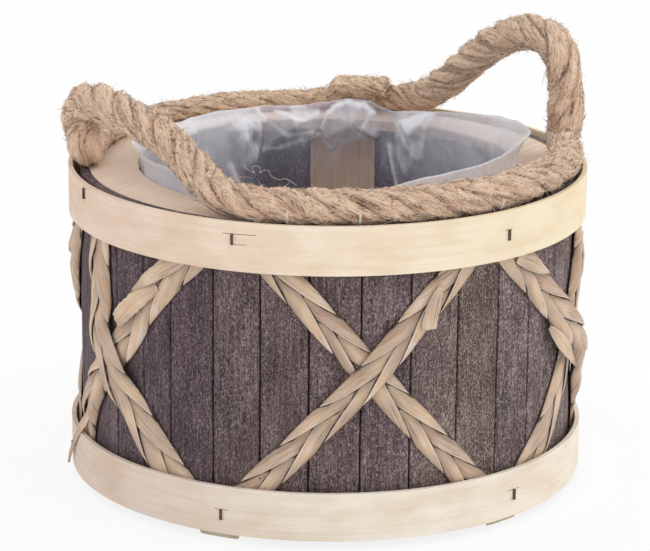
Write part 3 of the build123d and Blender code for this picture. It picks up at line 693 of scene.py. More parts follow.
line, ways, run, cuts, strands, rng = layRope()
for number, (pieceName, (nodeName, loop)) in enumerate(ropePieces.items()):
    first, last = cuts[number], cuts[number + 1]
    verts, places, marks, faces = [], [], [], []
    for ring, place, mark, outWay, sideWay in strands:
        faces += tubeFaces(last - first + 1, rope["ringSides"], sum(len(v) for v in verts))
        verts.append(ring[first:last + 1].reshape(-1, 3))
        places.append(place[first:last + 1].reshape(-1, 3))
        marks.append(mark[first:last + 1].reshape(-1, 3))
    cutEnds = [(first, -1.0)] if number == 0 else [(last, 1.0)] if number == len(ropePieces) - 1 else []
    hairs, hairPlaces, hairMarks, hairFaces = ropeHairs(first, last, ways, run, strands, rng, cutEnds)
    base = sum(len(v) for v in verts)
    faces += [tuple(base + v for v in face) for face in hairFaces]
    if pieceName == "rimRopeFront":
        thread, threadFaces = threadTube(base + len(hairs))
        faces += threadFaces
        hairs = np.concatenate([hairs, thread])
        hairPlaces = np.concatenate([hairPlaces, np.full(thread.shape, 90.0)])
        hairMarks = np.concatenate([hairMarks, np.tile((0.0, 1.0, 0.0), (len(thread), 1))])
    piece = makeMesh(pieceName, np.concatenate(verts + [hairs]), faces, finishes["jute"],
                     {"ropePlace": np.concatenate(places + [hairPlaces]),
                      "ropeShade": np.concatenate(marks + [hairMarks])})
    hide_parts(nodeName)
    if loop:
        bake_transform(piece)
    else:
        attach(piece, "root")
print("rope laid")

# The plaits: flat leaf, plaited in three. What shows is a row of long facets, each starting in a
# point at one edge and running up and over to the other, where the next one covers it.
plait = {
    "halfWidth": 8.1, "pitch": 16.5, "slope": 0.27, "reach": 58.0, "edgeRun": 36.0,  # mm; mm per mm up
    "thick": 0.75, "top": 4.1, "fall": 0.052, "shoulder": 1.5, "scallop": 0.55,  # mm; mm per mm up
    "lip": 1.9, "pleatDepth": 0.28, "tuck": 12.0, "rise": 1.7, "riseRun": 8.0, "clear": 0.1, "lowest": 0.25,  # mm
    "humpRise": 4.0, "humpFlat": 9.0, "humpRamp": 30.0,  # mm, the upper plait's lift over a crossing
    "squeeze": 0.60, "squeezeRun": (-2.0, 8.0),  # thickness share behind the bands; mm from their edge
    "bulgeReach": 24.0, "bulgeRun": 16.0,  # mm up and down; mm from a band's edge to its full height
    "lead": 48.0, "shortest": 8.0, "pitchSpread": 2.4, "slopeSpread": 0.10, "scallopSpread": 0.25,  # mm; shares
    "bow": 0.45, "bowRun": 38.0, "crown": 0.25, "lipRun": 5.0, "overlap": 0.2, "narrowest": 0.3,  # mm
    "uneven": 0.22, "unevenWaves": (0.09, 0.25), "markStep": 211,  # mm; per mm; mm of pattern between facets
    "pleatAt": (1.2, 7.5), "pleatWide": (0.35, 0.7), "pleatSkew": 0.04,  # mm; mm over per mm up
    "endStep": 1.2, "endThick": 0.5, "endWave": 0.30, "endRagged": 0.14,  # mm; share: the loose ends
    "samples": 160, "blur": 25,  # points along a plait's line, and how many its bends are averaged over
    "rowStep": 1.8, "columns": 9, "seed": 5,
}
# Plaits wider than the rest, as a share; then where some bulge off the wall: level mm, share more
wideShare = {"plaitLeftFalling": 1.4, "plaitLeftRising": 1.2, "plaitBackLeftRising": 1.25,
             "plaitRightFalling": 1.26, "plaitRightRising": 1.26}
bulges = {"plaitLeftFalling": [(128, 0.6)], "plaitLeftRising": [(58, 0.9)], "plaitBackLeftRising": [(128, 1.4)],
          "plaitRightRising": [(132, 1.2)], "plaitRightFalling": [(62, 1.1), (92, 0.7)]}
# Degrees off a straight course, by level
bends = {
    "plaitLeftFalling": [(33, 0.6), (56, -3.5), (81, -6.7), (100, -8.3), (121, -4.5), (147, 2.1), (157, 3)],
    "plaitLeftRising": [(33, 2.5), (40, 0.8), (67, -4), (98, -0.5), (127, -1.5), (155, 1.3)],
    "plaitRightFalling": [(32, 0), (50, 5), (71, 8), (91, 5.9), (113, 1.6), (135, -1.7), (155, -3.6)],
    "plaitRightRising": [(32, -1.2), (53, 1.8), (78, 2), (100, 0), (125, -3), (156, -5)],
    "plaitBackLeftRising": [(32, 0), (60, 2), (90, 5), (110, 8), (130, 9), (156, 3)],
}
crossingDrop = {"left": 9.0, "right": -8.0, "back_left": 6.0}  # mm
# Angles where each crossing's plaits meet the bands' edges: top left, top right, bottom left, bottom
# right; then which plait lies on top.
crossings = {
    "front": (-9.9, 29.9, -14.6, 32.7, "rising"),
    "right": (48.9, 90.0, 54.8, 86.0, "falling"),
    "back_right": (109.0, 149.0, 107.0, 150.0, "rising"),
    "back": (-189.0, -150.5, -190.0, -150.5, "falling"),
    "back_left": (-131.0, -84.0, -130.5, -89.0, "rising"),
    "left": (-64.0, -33.7, -71.0, -36.2, "falling"),
}
# Leaf ends that stick out of a plait: angle, level mm, mm off the staves, half width mm
looseEnds = {
    "plaitFrontRising": [
        [(24.9, 147, 4.2, 1.2), (23.7, 141, 5.1, 3.4), (22.8, 134, 5.6, 4.3), (22.2, 127, 5.3, 4.4),
         (22.2, 123.6, 5.6, 3.7)]],
    "plaitLeftRising": [
        [(-32.4, 158.5, 2.2, 3.4), (-36.5, 151.7, 4.6, 4.4), (-41.3, 143.6, 5.4, 3.8), (-46.7, 133.2, 5.0, 0.4)],
        [(-39.2, 139.5, 3.6, 3.0), (-43.6, 132, 4.8, 5.2), (-48.6, 121, 5.3, 5.6), (-52.0, 113, 5.6, 4.6)],
        [(-67.6, 46, 4.3, 2.6), (-69.6, 39, 5.6, 3.2), (-71.2, 34, 6.9, 2.9), (-74.5, 25, 7.9, 1.9),
         (-77.8, 15, 8.9, 1.4), (-80.0, 6, 9.5, 0.4)]],
    "plaitRightFalling": [
        [(45.6, 154.5, 3.4, 2.8), (49.6, 149.5, 4.9, 3.9), (54.0, 143.5, 5.4, 2.6), (57.0, 139.8, 5.2, 0.4)],
        [(57.5, 108, 5.4, 1.4), (61.2, 99, 7.0, 4.4), (66.2, 88, 7.6, 4.2), (71.8, 75, 7.4, 0.6)]],
    "plaitRightRising": [[(76.5, 128, 4.2, 2.6), (80.0, 137, 5.0, 3.8), (83.6, 146.5, 5.0, 0.5)]],
    "plaitBackRising": [[(-160.0, 128, 4.0, 2.6), (-163.5, 120, 5.0, 4.0), (-168.0, 110, 5.2, 0.5)]],
}


def plaitLine(name, lowAngle, highAngle, crossing, upper):
    low, high = lowBandTop, bandUnder
    mid, halfHeight = (low + high) / 2, (high - low) / 2
    lean = bandInner * math.sin(math.radians(highAngle - lowAngle) / 2) / halfHeight
    end = halfHeight + plait["tuck"] * mm
    count, blur = plait["samples"], plait["blur"]
    points = []
    bend = np.interp(np.linspace(mid - end, mid + end, count + blur) / mm, *zip(*bends.get(name, [(0, 0)])))
    bend = np.convolve(bend, np.ones(blur) / blur, "valid")
    for i in range(count + 1):
        z = mid - end + 2 * end * i / count
        radius = staveFace + plait["clear"] * mm
        if upper:
            away = smoothStep(plait["humpFlat"] * mm, plait["humpRamp"] * mm, abs(z - crossing))
            radius += plait["humpRise"] * mm * (1 - away)
        angle = (lowAngle + highAngle) / 2 + math.degrees(math.asin(lean * (z - mid) / radius)) + bend[i]
        points.append(onRim(radius, angle, z))
    line = np.array(points)
    ways = unit(np.gradient(line, axis=0))
    out = unit(line * (1, 1, 0))
    out = unit(out - ways * np.sum(out * ways, axis=1)[:, None])
    run = runOf(line) / mm
    inside = np.minimum(line[:, 2] - low, high - line[:, 2])
    hidden, free = plait["squeezeRun"]
    shown = plait["squeeze"] + (1 - plait["squeeze"]) * smoothStep(hidden * mm, free * mm, inside)
    for level, more in bulges.get(name, []):
        near = np.exp(-((line[:, 2] / mm - level) / plait["bulgeReach"]) ** 2)
        shown = shown * (1 + more * near * smoothStep(0, plait["bulgeRun"] * mm, inside))
    return line, np.cross(out, ways), out, run, shown


# A closed plate from a grid of points on its face and a grid on its back
def plate(face, back, verts, faces):
    rows, columns = face.shape[:2]
    base = sum(len(v) for v in verts)
    verts += [face.reshape(-1, 3), back.reshape(-1, 3)]
    under = base + rows * columns
    for i in range(rows - 1):
        for j in range(columns - 1):
            a = i * columns + j
            faces.append((base + a, base + a + 1, base + a + columns + 1, base + a + columns))
            faces.append((under + a, under + a + columns, under + a + columns + 1, under + a + 1))
    border = ([(0, j) for j in range(columns)] + [(i, columns - 1) for i in range(1, rows)]
              + [(rows - 1, j) for j in range(columns - 2, -1, -1)] + [(i, 0) for i in range(rows - 2, 0, -1)])
    spots = [i * columns + j for i, j in border]
    for a, b in zip(spots, spots[1:] + spots[:1]):
        faces.append((base + b, base + a, under + a, under + b))


def layPlait(name, lowAngle, highAngle, crossing, upper, seed):
    rng = np.random.default_rng(seed)
    line, across, out, run, shown = plaitLine(name, lowAngle, highAngle, crossing, upper)
    verts, marks, faces = [], [], []
    share = wideShare.get(name, 1.0)
    pitch, width = plait["pitch"], plait["halfWidth"] * share
    count = int((run[-1] + plait["lead"]) / pitch) + 1
    starts = -plait["lead"] + rng.random() * pitch + pitch * np.arange(count + 2)
    starts += rng.normal(0, plait["pitchSpread"], count + 2)
    slopes = plait["slope"] * share * (1 + rng.normal(0, plait["slopeSpread"], count + 2))
    firstSide = 1 if seed % 2 else -1

    def edgeLine(n, s):  # a facet's own crisp edge, as mm across from the plait's middle
        return -width + slopes[n] * (s - starts[n])

    for n in range(count):
        low, high = max(0.0, -starts[n]), min(plait["reach"], run[-1] - starts[n])
        if high - low < plait["shortest"]:
            continue
        side = firstSide if n % 2 else -firstSide
        rows = max(4, round((high - low) / plait["rowStep"]))
        local = np.linspace(low, high, rows)
        s = local + starts[n]
        inner = edgeLine(n, s) + plait["bow"] * np.sin(np.pi * np.clip(local / plait["bowRun"], 0, 1))
        inner = inner + plait["overlap"]
        swell = plait["scallop"] * np.sin(np.pi * np.clip(local / plait["edgeRun"], 0, 1))
        swell = swell * (1 + rng.normal(0, plait["scallopSpread"]))
        outer = np.maximum(-width - swell, -width + slopes[n] * (local - plait["edgeRun"]))
        outer = np.minimum(outer, inner - plait["narrowest"])
        u = np.linspace(0, 1, plait["columns"])[None, :]
        x = inner[:, None] + (outer - inner)[:, None] * u
        fromEdge = np.abs(x - inner[:, None])
        z = plait["top"] - plait["fall"] * local - plait["rise"] * np.exp(-local / plait["riseRun"])
        z = z[:, None]
        z = z - plait["shoulder"] * np.clip(np.abs(x) / width, 0, 1.1) ** 4
        z = z - plait["crown"] * (1 - np.sqrt(np.clip(4 * u * (1 - u), 0, 1)))
        for _ in range(rng.integers(1, 4)):  # lengthwise pleats
            at = rng.uniform(*plait["pleatAt"]) + rng.normal(0, plait["pleatSkew"]) * local[:, None]
            wide = rng.uniform(*plait["pleatWide"])
            z = z - plait["pleatDepth"] * np.exp(-((fromEdge - at) / wide) ** 2)
        long, wide = plait["unevenWaves"]
        rough = [[noise.noise(Vector((a * long, b * wide, seed + n * 3.3))) for b in row] for a, row in zip(s, x)]
        z = z + plait["uneven"] * np.array(rough)
        lip = np.clip(1 - (local - plait["edgeRun"]) / plait["lipRun"], 0, 1)[:, None] * plait["lip"]
        lip = lip * np.clip(local / plait["lipRun"], 0.25, 1)[:, None]
        x = np.concatenate([x, x[:, -1:] - 0.18 * lip, x[:, -1:] - 0.05 * lip], axis=1)
        z = np.concatenate([z, z[:, -1:] - 0.42 * lip, z[:, -1:] - lip], axis=1)
        z = np.maximum(z, plait["lowest"])
        slant = np.zeros(x.shape)
        slant[:, -2], slant[:, -1] = 0.7, 1.0
        backX = x + plait["thick"] * slant
        backZ = np.maximum(z - plait["thick"] * np.where(slant > 0.9, 0.0, 1 - 0.3 * slant), 0.02)
        # mm to the next facets' covering edges, for the painted shadow under them
        cos = math.cos(math.atan(slopes[n]))
        cover = np.minimum((-x - edgeLine(n + 1, s)[:, None]), (x - edgeLine(n + 2, s)[:, None])) * cos
        mark = np.stack([np.broadcast_to(s[:, None] + plait["markStep"] * n, x.shape),
                         np.concatenate([fromEdge, fromEdge[:, -1:] + 0.8, fromEdge[:, -1:] + 1.9], axis=1),
                         np.clip(cover, -3, 6)], axis=2)
        middle, sideWay, outWay = (np.array([np.interp(s, run, values[:, axis])
                                             for axis in range(3)]).T[:, None, :]
                                   for values in (line, across, out))
        tall = np.interp(s, run, shown)[:, None]
        face, back = (middle + sideWay * (side * xs * mm)[:, :, None] + outWay * (zs * tall * mm)[:, :, None]
                      for xs, zs in ((x, z), (backX, backZ)))
        plate(face, back, verts, faces)
        # the backs are marked as lying at a covering edge, so they take the full painted shade
        marks += [mark.reshape(-1, 3), (mark * (1, 1, 0)).reshape(-1, 3)]
    for number, stations in enumerate(looseEnds.get(name, [])):
        spots = [(*onRim(staveFace + h * mm, a, z * mm), w * mm) for a, z, h, w in stations]
        sampled, _ = smoothLine(spots, plait["endStep"] * mm)
        middle, wide = sampled[:, :3], np.maximum(sampled[:, 3], 0.15 * mm)
        way = np.gradient(middle, axis=0)
        normal = unit(middle * (1, 1, 0))
        flat = unit(np.cross(normal, way))
        u = np.linspace(-1, 1, 9)[None, :]
        order = np.arange(len(middle))
        ragged = 1 + plait["endRagged"] * drift(order, 0.35, number + seed)[:, None]
        wave = plait["endWave"] * np.cos(u * 7 + number * 2 + order[:, None] * 0.15) - 0.5 * u ** 2
        face = (middle[:, None, :] + flat[:, None, :] * (wide[:, None] * ragged * u)[:, :, None]
                + normal[:, None, :] * (wave * mm)[:, :, None])
        back = face - normal[:, None, :] * plait["endThick"] * mm
        plate(face, back, verts, faces)
        mark = np.stack([np.broadcast_to(order[:, None] * plait["endStep"] + 900 + 60 * number, face.shape[:2]),
                         np.broadcast_to(4 + 4 * u, face.shape[:2]), np.full(face.shape[:2], 6.0)], axis=2)
        # the loose ends' backs are marked close to a covering edge, so they take painted shade
        marks += [mark.reshape(-1, 3), (mark * (1, 1, 0.1)).reshape(-1, 3)]
    return makeMesh(name, np.concatenate(verts), faces, finishes["leaf"], {"leafPlace": np.concatenate(marks)})


for number, (place, (topLeft, topRight, lowLeft, lowRight, upper)) in enumerate(crossings.items()):
    spread = (lowRight - lowLeft) + (topRight - topLeft)
    crossing = lowBandTop + (bandUnder - lowBandTop) * (lowRight - lowLeft) / spread
    crossing -= crossingDrop.get(place, 0) * mm
    for way, (lowAngle, highAngle) in {"rising": (lowLeft, topRight), "falling": (lowRight, topLeft)}.items():
        words = "".join(word.capitalize() for word in place.split("_"))
        piece = layPlait(f"plait{words}{way.capitalize()}", lowAngle, highAngle, crossing, upper == way,
                         plait["seed"] + number * 2 + (way == "rising"))
        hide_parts(f"plait_{place}_{way}")
        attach(piece, "root")
print("plaits laid")

# The liner: a round bag of film, folded on itself down its side, whose loose edge stands above the
# ledge at the right front and lies out over it at the back.
liner = {
    # angle from the front, mm of the edge from the axis, mm above the ledge
    "edge": [(-180, 115.5, 10), (-174, 116.5, 8), (-168, 117, 7.5), (-160, 117, 9), (-148, 117, 8),
             (-138, 117, 6.5), (-129, 117, 6), (-115, 116, 9), (-103, 115, 12), (-90, 114.5, 13),
             (-80, 114, 14), (-70, 115, 15), (-60, 114, 14), (-45, 112, 12), (-30, 111, 10), (-15, 109.5, 9),
             (0, 109.5, 9), (10, 109.8, 10.5), (18, 110, 12), (23, 110, 14), (30, 110, 16), (39, 111, 17.5),
             (50, 112, 17.5), (65, 111.5, 18), (80, 113, 18), (89, 117, 18), (94, 119, 17.5), (105, 117, 18),
             (119, 118, 15), (133, 118, 11), (144, 119, 8.5), (152, 113, 8), (158, 108, 7.5), (163, 110, 9.5),
             (167, 112, 12.8), (172.5, 112.5, 13.2), (177, 114, 11.5), (180, 115.5, 10)],
    # the bag's main folds, as its solid has them: mm deep at each angle
    "folds": {8: 6, 28: 2, 68: 5, 98: 6, 128: 3, 158: 7.5, 188: 7, 218: 3.5, 248: 6, 278: 7, 308: 3.5, 338: 6},
    "foldStep": 10.0, "foldFirst": 8.0, "footShare": 0.5, "neckShare": 0.3,  # degrees; shares of a fold's depth
    "neck": 109.3, "floorSlope": 12.0, "belly": 95.0, "neckDrop": 12.0,  # mm
    # pouches of spare film at the back: angle, degrees to each side, level from and to mm, mm inward, cover
    "pouches": [(152, 9.5, 146, 196, 3.0, 0.05), (207, 9.5, 150, 192, 3.5, 0.08),
                (190, 11, 158, 192, 2.0, 0.03), (120, 7, 120, 190, 1.6, 0.0), (232, 8, 130, 192, 3.5, 0.06)],
    # a pouch's share of its width at its foot, how soon it is full, the share of its width that is full,
    # what it loses over the ledge; and its crumple: share, waves round, waves up per metre
    "pouchFoot": 0.25, "pouchRise": 5, "pouchFull": 0.55, "pouchLoss": 0.75, "pouchCrumple": (1.1, 30, 95),
    # sharp folds at the back, each a fan of flats: its middle as angle, level and mm inward, its rim as
    # angle and level, mm inward at the rim, and the cover of its flats in turn, which paints
    # highlight and shade on the flats: whiter where a flat faces the light
    "fans": [
        ((209.0, 179.5, 4.5), [(215.0, 180.2), (208.3, 186.2), (204.2, 178.8), (209.5, 167.8)], 1.0,
         (0.50, 0.26, 0.62)),
        ((211.5, 149, 2.0), [(215.5, 158.5), (213.1, 158.5), (208.2, 139.0), (211.0, 139.8)], 0.5, (0.5, 0.42)),
        ((191.9, 179.5, 6.5), [(201.9, 186.8), (192.5, 190.8), (182.7, 187.8), (182.3, 171.8), (189.2, 168.8),
                               (197.1, 165.0), (201.7, 164.5)], 0.4, (0.06, 0.20, 0.13, 0.28, 0.09)),
        ((172.2, 181.5, 10.5), [(182.3, 176.8), (180.7, 186.0), (176.9, 192.0), (172.9, 193.8), (168.3, 193.0),
                                (164.4, 187.8), (162.3, 178.2), (163.1, 172.0), (167.6, 173.8), (172.2, 170.2),
                                (179.0, 164.8), (181.6, 169.8)], 2.0, (0.10, 0.24, 0.15, 0.30, 0.20)),
        ((150.9, 177, 6.0), [(156.0, 184.2), (145.8, 191.0), (148.6, 162.2)], 0.4, (0.56, 0.06, 0.62))],
    # painted highlights along the film's creases there
    "creases": [
        [(182.3, 176.8), (180.7, 185.5), (176.9, 191.4), (172.9, 193.4), (168.3, 192.4), (164.4, 187.2)],
        [(181.6, 169.8), (179.0, 164.8), (172.2, 170.2), (167.6, 173.8)],
        [(165.6, 188.0), (168.6, 177.5), (169.6, 171.0)],
        [(156.0, 183.2), (152.6, 171), (148.6, 162.2), (145.8, 190.0)], [(159.4, 168.8), (156.1, 144.0)],
        [(201.7, 164.8), (196.0, 166.0), (189.0, 170.6), (182.4, 173.2)],
        [(199.3, 181.8), (194.2, 174.2), (185.2, 176.0)],
        [(196.5, 187.5), (191.0, 184.0), (187.6, 183.2), (183.4, 186)],
        [(202.6, 190), (203.4, 178), (205.0, 160)], [(215.0, 180.2), (209.5, 167.8), (204.2, 178.8)]],
    "creaseWide": 0.9, "creaseHighlight": 0.48, "perDegree": 1.9,  # mm; mm along the wall
    # angle, then how much the film hides near the ledge and lower down
    "cover": [(-180, 0.15, 0.08), (-166, 0.15, 0.08), (-158.5, 0.18, 0.08), (-156.5, 0.36, 0.12),
              (-152, 0.46, 0.18), (-144, 0.54, 0.40), (-130, 0.52, 0.42), (-100, 0.46, 0.36), (-60, 0.40, 0.30),
              (0, 0.50, 0.26), (28, 0.80, 0.28), (60, 0.84, 0.30), (82, 0.74, 0.28), (95, 0.50, 0.27),
              (115, 0.48, 0.23), (140, 0.40, 0.22), (153, 0.38, 0.22), (155.5, 0.46, 0.20), (157, 0.30, 0.06),
              (165, 0.14, 0.08), (176, 0.14, 0.08), (180, 0.15, 0.08)],
    "floorCover": 0.34, "mostCover": 0.9, "looseEdgeHighlight": 0.22, "ridgeHighlight": 0.09,  # the last two are added as painted highlight on the loose edge and the crumples' ridges
    "ridgeWide": 0.07, "edgeFrom": 0.86,  # of the noise's range; share of the loose edge's height
    "floorBlend": (40, 95), "wallBlend": (138, 172), "ridgeBlend": (128, 165),  # mm, levels between covers
    "floorGap": 0.7, "centre": 0.4, "calmFoot": (6, 60), "calmLedge": 0.55,  # mm; share
    "leanOut": 1.6, "edgeWave": 0.9, "fansFrom": 135.0,  # power; mm
    "crumple": ((4.5, 10, 2.2), (10, 28, 1.5), (24, 70, 0.8)),  # waves round, waves up per metre, mm
    # angle, share of that crumple there
    "loose": [(-180, 1.0), (-160, 1.0), (-148, 0.5), (-125, 0.28), (0, 0.35), (90, 0.22), (138, 0.25),
              (150, 0.6), (160, 1.0), (180, 1.0)],
    "thick": 0.30, "rows": (6, 4, 16, 42, 10, 13),
    "wideStep": 1.3, "fineStep": 0.55, "fineFrom": 132.0, "fineTo": 232.0,  # degrees
}


def tableAt(table, angle):
    angle = (angle + 180) % 360 - 180
    angles, *columns = zip(*table)
    return [float(np.interp(angle, angles, column)) for column in columns]


def foldAt(angle):
    low = math.floor((angle - liner["foldFirst"]) / liner["foldStep"]) * liner["foldStep"] + liner["foldFirst"]
    t = ease(0, 1, (angle - low) / liner["foldStep"])
    ends = [liner["folds"].get(int(a % 360), 0) for a in (low, low + liner["foldStep"])]
    return ends[0] * (1 - t) + ends[1] * t


# How far a fan of flats pushes the wall in at a place, and how much it hides, which whitens it as painted
# highlight
def fanAt(angle, level):
    angle %= 360
    for middle, rim, rimDepth, covers in liner["fans"]:
        for number, (a, b) in enumerate(zip(rim, rim[1:] + rim[:1])):
            det = (a[0] - middle[0]) * (b[1] - middle[1]) - (b[0] - middle[0]) * (a[1] - middle[1])
            u = ((angle - middle[0]) * (b[1] - middle[1]) - (b[0] - middle[0]) * (level - middle[1])) / det
            v = ((a[0] - middle[0]) * (level - middle[1]) - (angle - middle[0]) * (a[1] - middle[1])) / det
            if u >= 0 and v >= 0 and u + v <= 1:
                return middle[2] + (rimDepth - middle[2]) * (u + v), covers[number % len(covers)]
    return 0.0, 0.0


# painted highlight along a crease: the cover a place gets from it
def creaseAt(angle, level):
    perDegree = liner["perDegree"]
    for points in liner["creases"]:
        for a, b in zip(points, points[1:]):
            alongX, alongY = (b[0] - a[0]) * perDegree, b[1] - a[1]
            x, y = (angle % 360 - a[0]) * perDegree, level - a[1]
            t = min(1.0, max(0.0, (x * alongX + y * alongY) / (alongX ** 2 + alongY ** 2)))
            if math.hypot(x - alongX * t, y - alongY * t) < liner["creaseWide"]:
                return liner["creaseHighlight"]
    return 0.0


def hangLiner():
    fineFrom, fineTo = liner["fineFrom"], liner["fineTo"]
    angles = np.concatenate([np.arange(fineTo - 360, fineFrom, liner["wideStep"]),
                             np.arange(fineFrom, fineTo, liner["fineStep"])])
    steps = len(angles)
    floor = baseTop / mm + liner["floorGap"]
    ledge = ledgeTop / mm
    columns, marks = [], []
    for angle in angles.tolist():
        fold = foldAt(angle)
        edgeRadius, edgeHeight = tableAt(liner["edge"], angle)
        rest, foot = fold * liner["neckShare"], fold * liner["footShare"]
        neck = liner["neck"]
        rings = [(liner["centre"], floor), (neck - liner["floorSlope"] - foot, floor),
                 (neck - foot, floor + liner["floorSlope"]), (neck - fold, floor + liner["belly"]),
                 (neck - rest, ledge - liner["neckDrop"]), (neck - rest, ledge),
                 (edgeRadius, ledge + edgeHeight)]
        upper, lower = tableAt(liner["cover"], angle)
        slack = tableAt(liner["loose"], angle)[0]
        column, mark = [], []
        way = Vector((math.cos(math.radians(angle)), math.sin(math.radians(angle)), 0))
        for stretch, (count, start, end) in enumerate(zip(liner["rows"], rings, rings[1:])):
            for j in range(count + (stretch == 5)):
                t = j / count
                radius, level = start[0] + (end[0] - start[0]) * t, start[1] + (end[1] - start[1]) * t
                if stretch == 5:  # the loose edge leaves the hole upright and then leans out
                    radius = start[0] + (end[0] - start[0]) * t ** liner["leanOut"]
                up = level / 1000
                loose = ease(floor + liner["calmFoot"][0], floor + liner["calmFoot"][1], level)
                held = ease(ledge - 10, ledge - 2, level) * (1 - ease(ledge, ledge + 6, level))
                loose *= 1 - liner["calmLedge"] * held
                inward, white = 0.0, 0.0
                for around, tall, depth in liner["crumple"]:
                    n = noise.noise(Vector((way.x * around, way.y * around, up * tall + around)))
                    inward += depth * abs(n) * 2 * loose * slack
                    # painted highlight on the crumples' ridges
                    ridge = ease(liner["ridgeWide"], 0.0, abs(n)) * loose * slack * depth / 2.4
                    white += liner["ridgeHighlight"] * ridge * ease(*liner["ridgeBlend"], level)
                for middle, reach, low, high, depth, extra in liner["pouches"]:
                    share = (level - low) / (high - low)
                    if 0 < share:
                        grown = min(1.0, liner["pouchFoot"] + (1 - liner["pouchFoot"]) * share)
                        off = abs((angle - middle + 180) % 360 - 180) / (reach * grown)
                        inside = ease(1.0, liner["pouchFull"], off) * min(1.0, share * liner["pouchRise"])
                        above = 1 - liner["pouchLoss"] * ease(ledge - 2, ledge + 7, level)
                        more, around, tall = liner["pouchCrumple"]
                        n = noise.noise(Vector((way.x * around, way.y * around, up * tall)))
                        inward += depth * inside * above * (1 + more * n)
                        white += extra * ease(0.2, 0.6, inside)
                if fineFrom < angle < fineTo and level > liner["fansFrom"]:
                    pushed, hidden = fanAt(angle, level)
                    inward += pushed
                    # the fans' flats and the creases whiten as painted highlight
                    white += hidden + creaseAt(angle, level)
                radius -= inward if stretch else 0
                if stretch == 5:
                    level += liner["edgeWave"] * t * noise.noise(Vector((way.x * 8, way.y * 8, 7.7)))
                    # painted highlight along the loose edge
                    white += liner["looseEdgeHighlight"] * ease(liner["edgeFrom"], 1.0, t)
                column.append(onRim(max(radius, 0.3) * mm, angle, level * mm))
                low = liner["floorCover"] + (lower - liner["floorCover"]) * ease(*liner["floorBlend"], level)
                cover = low + (upper - low) * ease(*liner["wallBlend"], level)
                mark.append((min(liner["mostCover"], cover + white), white, 0))
        columns.append(column)
        marks.append(mark)
    outer, marks = np.array(columns), np.array(marks)
    for grid in (outer, marks):  # rounds off the flats' rims
        grid[1:-1, 1:-1] = (2 * grid[1:-1, 1:-1] + grid[:-2, 1:-1] + grid[2:, 1:-1] + grid[1:-1, :-2]
                            + grid[1:-1, 2:]) / 6
    around = np.roll(outer, -1, axis=0) - np.roll(outer, 1, axis=0)
    upward = np.gradient(outer, axis=1)
    inner = outer + unit(np.cross(upward, around)) * liner["thick"] * mm
    rows = outer.shape[1]
    faces = []
    for layer in (0, steps * rows):
        for i in range(steps):
            k = (i + 1) % steps
            for j in range(rows - 1):
                faces.append((layer + i * rows + j, layer + k * rows + j, layer + k * rows + j + 1,
                              layer + i * rows + j + 1))
        faces.append(tuple(layer + i * rows for i in range(steps)))
    for i in range(steps):
        a, b = i * rows + rows - 1, (i + 1) % steps * rows + rows - 1
        faces.append((a, b, steps * rows + b, steps * rows + a))
    flatMarks = marks.reshape(-1, 3)
    verts = np.concatenate([outer.reshape(-1, 3), inner.reshape(-1, 3)])
    return makeMesh("filmLiner", verts, faces, finishes["film"],
                    {"foldPlace": np.concatenate([flatMarks, flatMarks])})


film = hangLiner()
filmArea = sum(face.area for face in film.data.polygons) / 2
print("film area", round(filmArea, 4))
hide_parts("liner")
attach(film, "root")
print("liner hung")

# Studio: pale floor, soft sky, a broad lamp from the right and front
studio = {"sky": 0.95, "lamp": 9.0, "lampSize": 1.6, "lampPlace": (1.5, -0.9, 1.9), "floorShade": 0.85,
          "floorColour": "#F6F6F6", "floorReach": 6.0}


# 1 for the rays that the camera sees by itself or in metal, gloss and glass
def seenRays(add):
    rays = add("LightPath").outputs
    seen = add("Math", {0: rays["Is Camera Ray"], 1: rays["Is Glossy Ray"]}, operation="MAXIMUM")
    return add("Math", {0: seen, 1: rays["Is Transmission Ray"]}, operation="MAXIMUM")


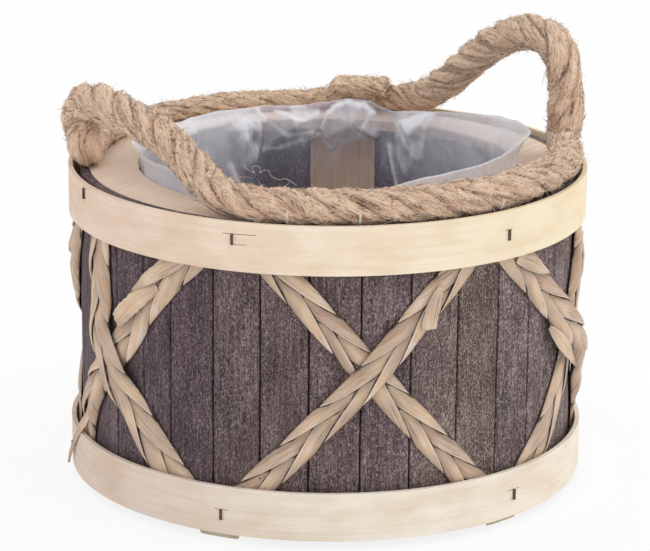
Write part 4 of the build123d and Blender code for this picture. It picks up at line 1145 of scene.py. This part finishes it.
def makeStudio():
    world = bpy.data.worlds.new("whiteSky")
    bpy.context.scene.world = world
    world.use_nodes = True
    world.node_tree.nodes.clear()
    add = partial(addNode, world.node_tree)
    light = add("Background", {"Color": (1, 1, 1, 1), "Strength": studio["sky"]})
    white = add("Background", {"Color": (1, 1, 1, 1), "Strength": 1.0})
    mixed = add("MixShader", {0: seenRays(add), 1: light, 2: white})
    add("OutputWorld", {"Surface": mixed})
    floorMaterial, shader, add = newMaterial("whitePaperFloor", Roughness=0.9)
    feedNode(shader, {"Base Color": toLinear(studio["floorColour"])})
    share = add("Math", {0: seenRays(add), 1: studio["floorShade"]}, operation="MULTIPLY")
    white = add("Emission", {"Color": (1, 1, 1, 1), "Strength": 1.0})
    mixed = add("MixShader", {0: share, 1: shader, 2: white})
    feedNode(floorMaterial.node_tree.nodes["Material Output"], {"Surface": mixed})
    reach = studio["floorReach"]
    floor = makeMesh("paperFloor", [(-reach, -reach, 0), (reach, -reach, 0), (reach, reach, 0),
                                    (-reach, reach, 0)], [(0, 1, 2, 3)], floorMaterial, smooth=False)
    lampData = bpy.data.lights.new("broadLamp", "AREA")
    lampData.energy = studio["lamp"]
    lampData.size = studio["lampSize"]
    lamp = bpy.data.objects.new("broadLamp", lampData)
    lamp.location = studio["lampPlace"]
    lamp.rotation_euler = (Vector((0, 0, 0.1))
                           - Vector(studio["lampPlace"])).to_track_quat("-Z", "Y").to_euler()
    bpy.context.scene.collection.objects.link(lamp)


# The camera stands where the photograph's stood: fitted to the drum's bands
view = {"azimuth": -38.0, "elevation": 16.11, "distance": 1.8, "lookAt": 114.2 * mm, "focalPixels": 3071.81,
        "roll": 0.51, "centre": (326.84, 274.74), "frame": (650, 551), "sensor": 36.0}


def makeCamera():
    data = bpy.data.cameras.new("photoCamera")
    data.sensor_width = view["sensor"]
    data.lens = view["focalPixels"] / view["frame"][0] * view["sensor"]
    data.shift_x = (view["frame"][0] / 2 - view["centre"][0]) / view["frame"][0]
    data.shift_y = (view["centre"][1] - view["frame"][1] / 2) / view["frame"][0]
    camera = bpy.data.objects.new("photoCamera", data)
    azimuth, elevation = math.radians(view["azimuth"]), math.radians(view["elevation"])
    away = Vector((math.sin(azimuth), -math.cos(azimuth), 0)) * math.cos(elevation)
    away.z = math.sin(elevation)
    target = Vector((0, 0, view["lookAt"]))
    turn = (-away).to_track_quat("-Z", "Y").to_matrix() @ Matrix.Rotation(math.radians(view["roll"]), 3, "Z")
    camera.matrix_world = Matrix.Translation(target + away * view["distance"]) @ turn.to_4x4()
    bpy.context.scene.collection.objects.link(camera)
    bpy.context.scene.camera = camera


makeStudio()
makeCamera()
bpy.context.scene.view_settings.view_transform = "Standard"
print("studio ready")
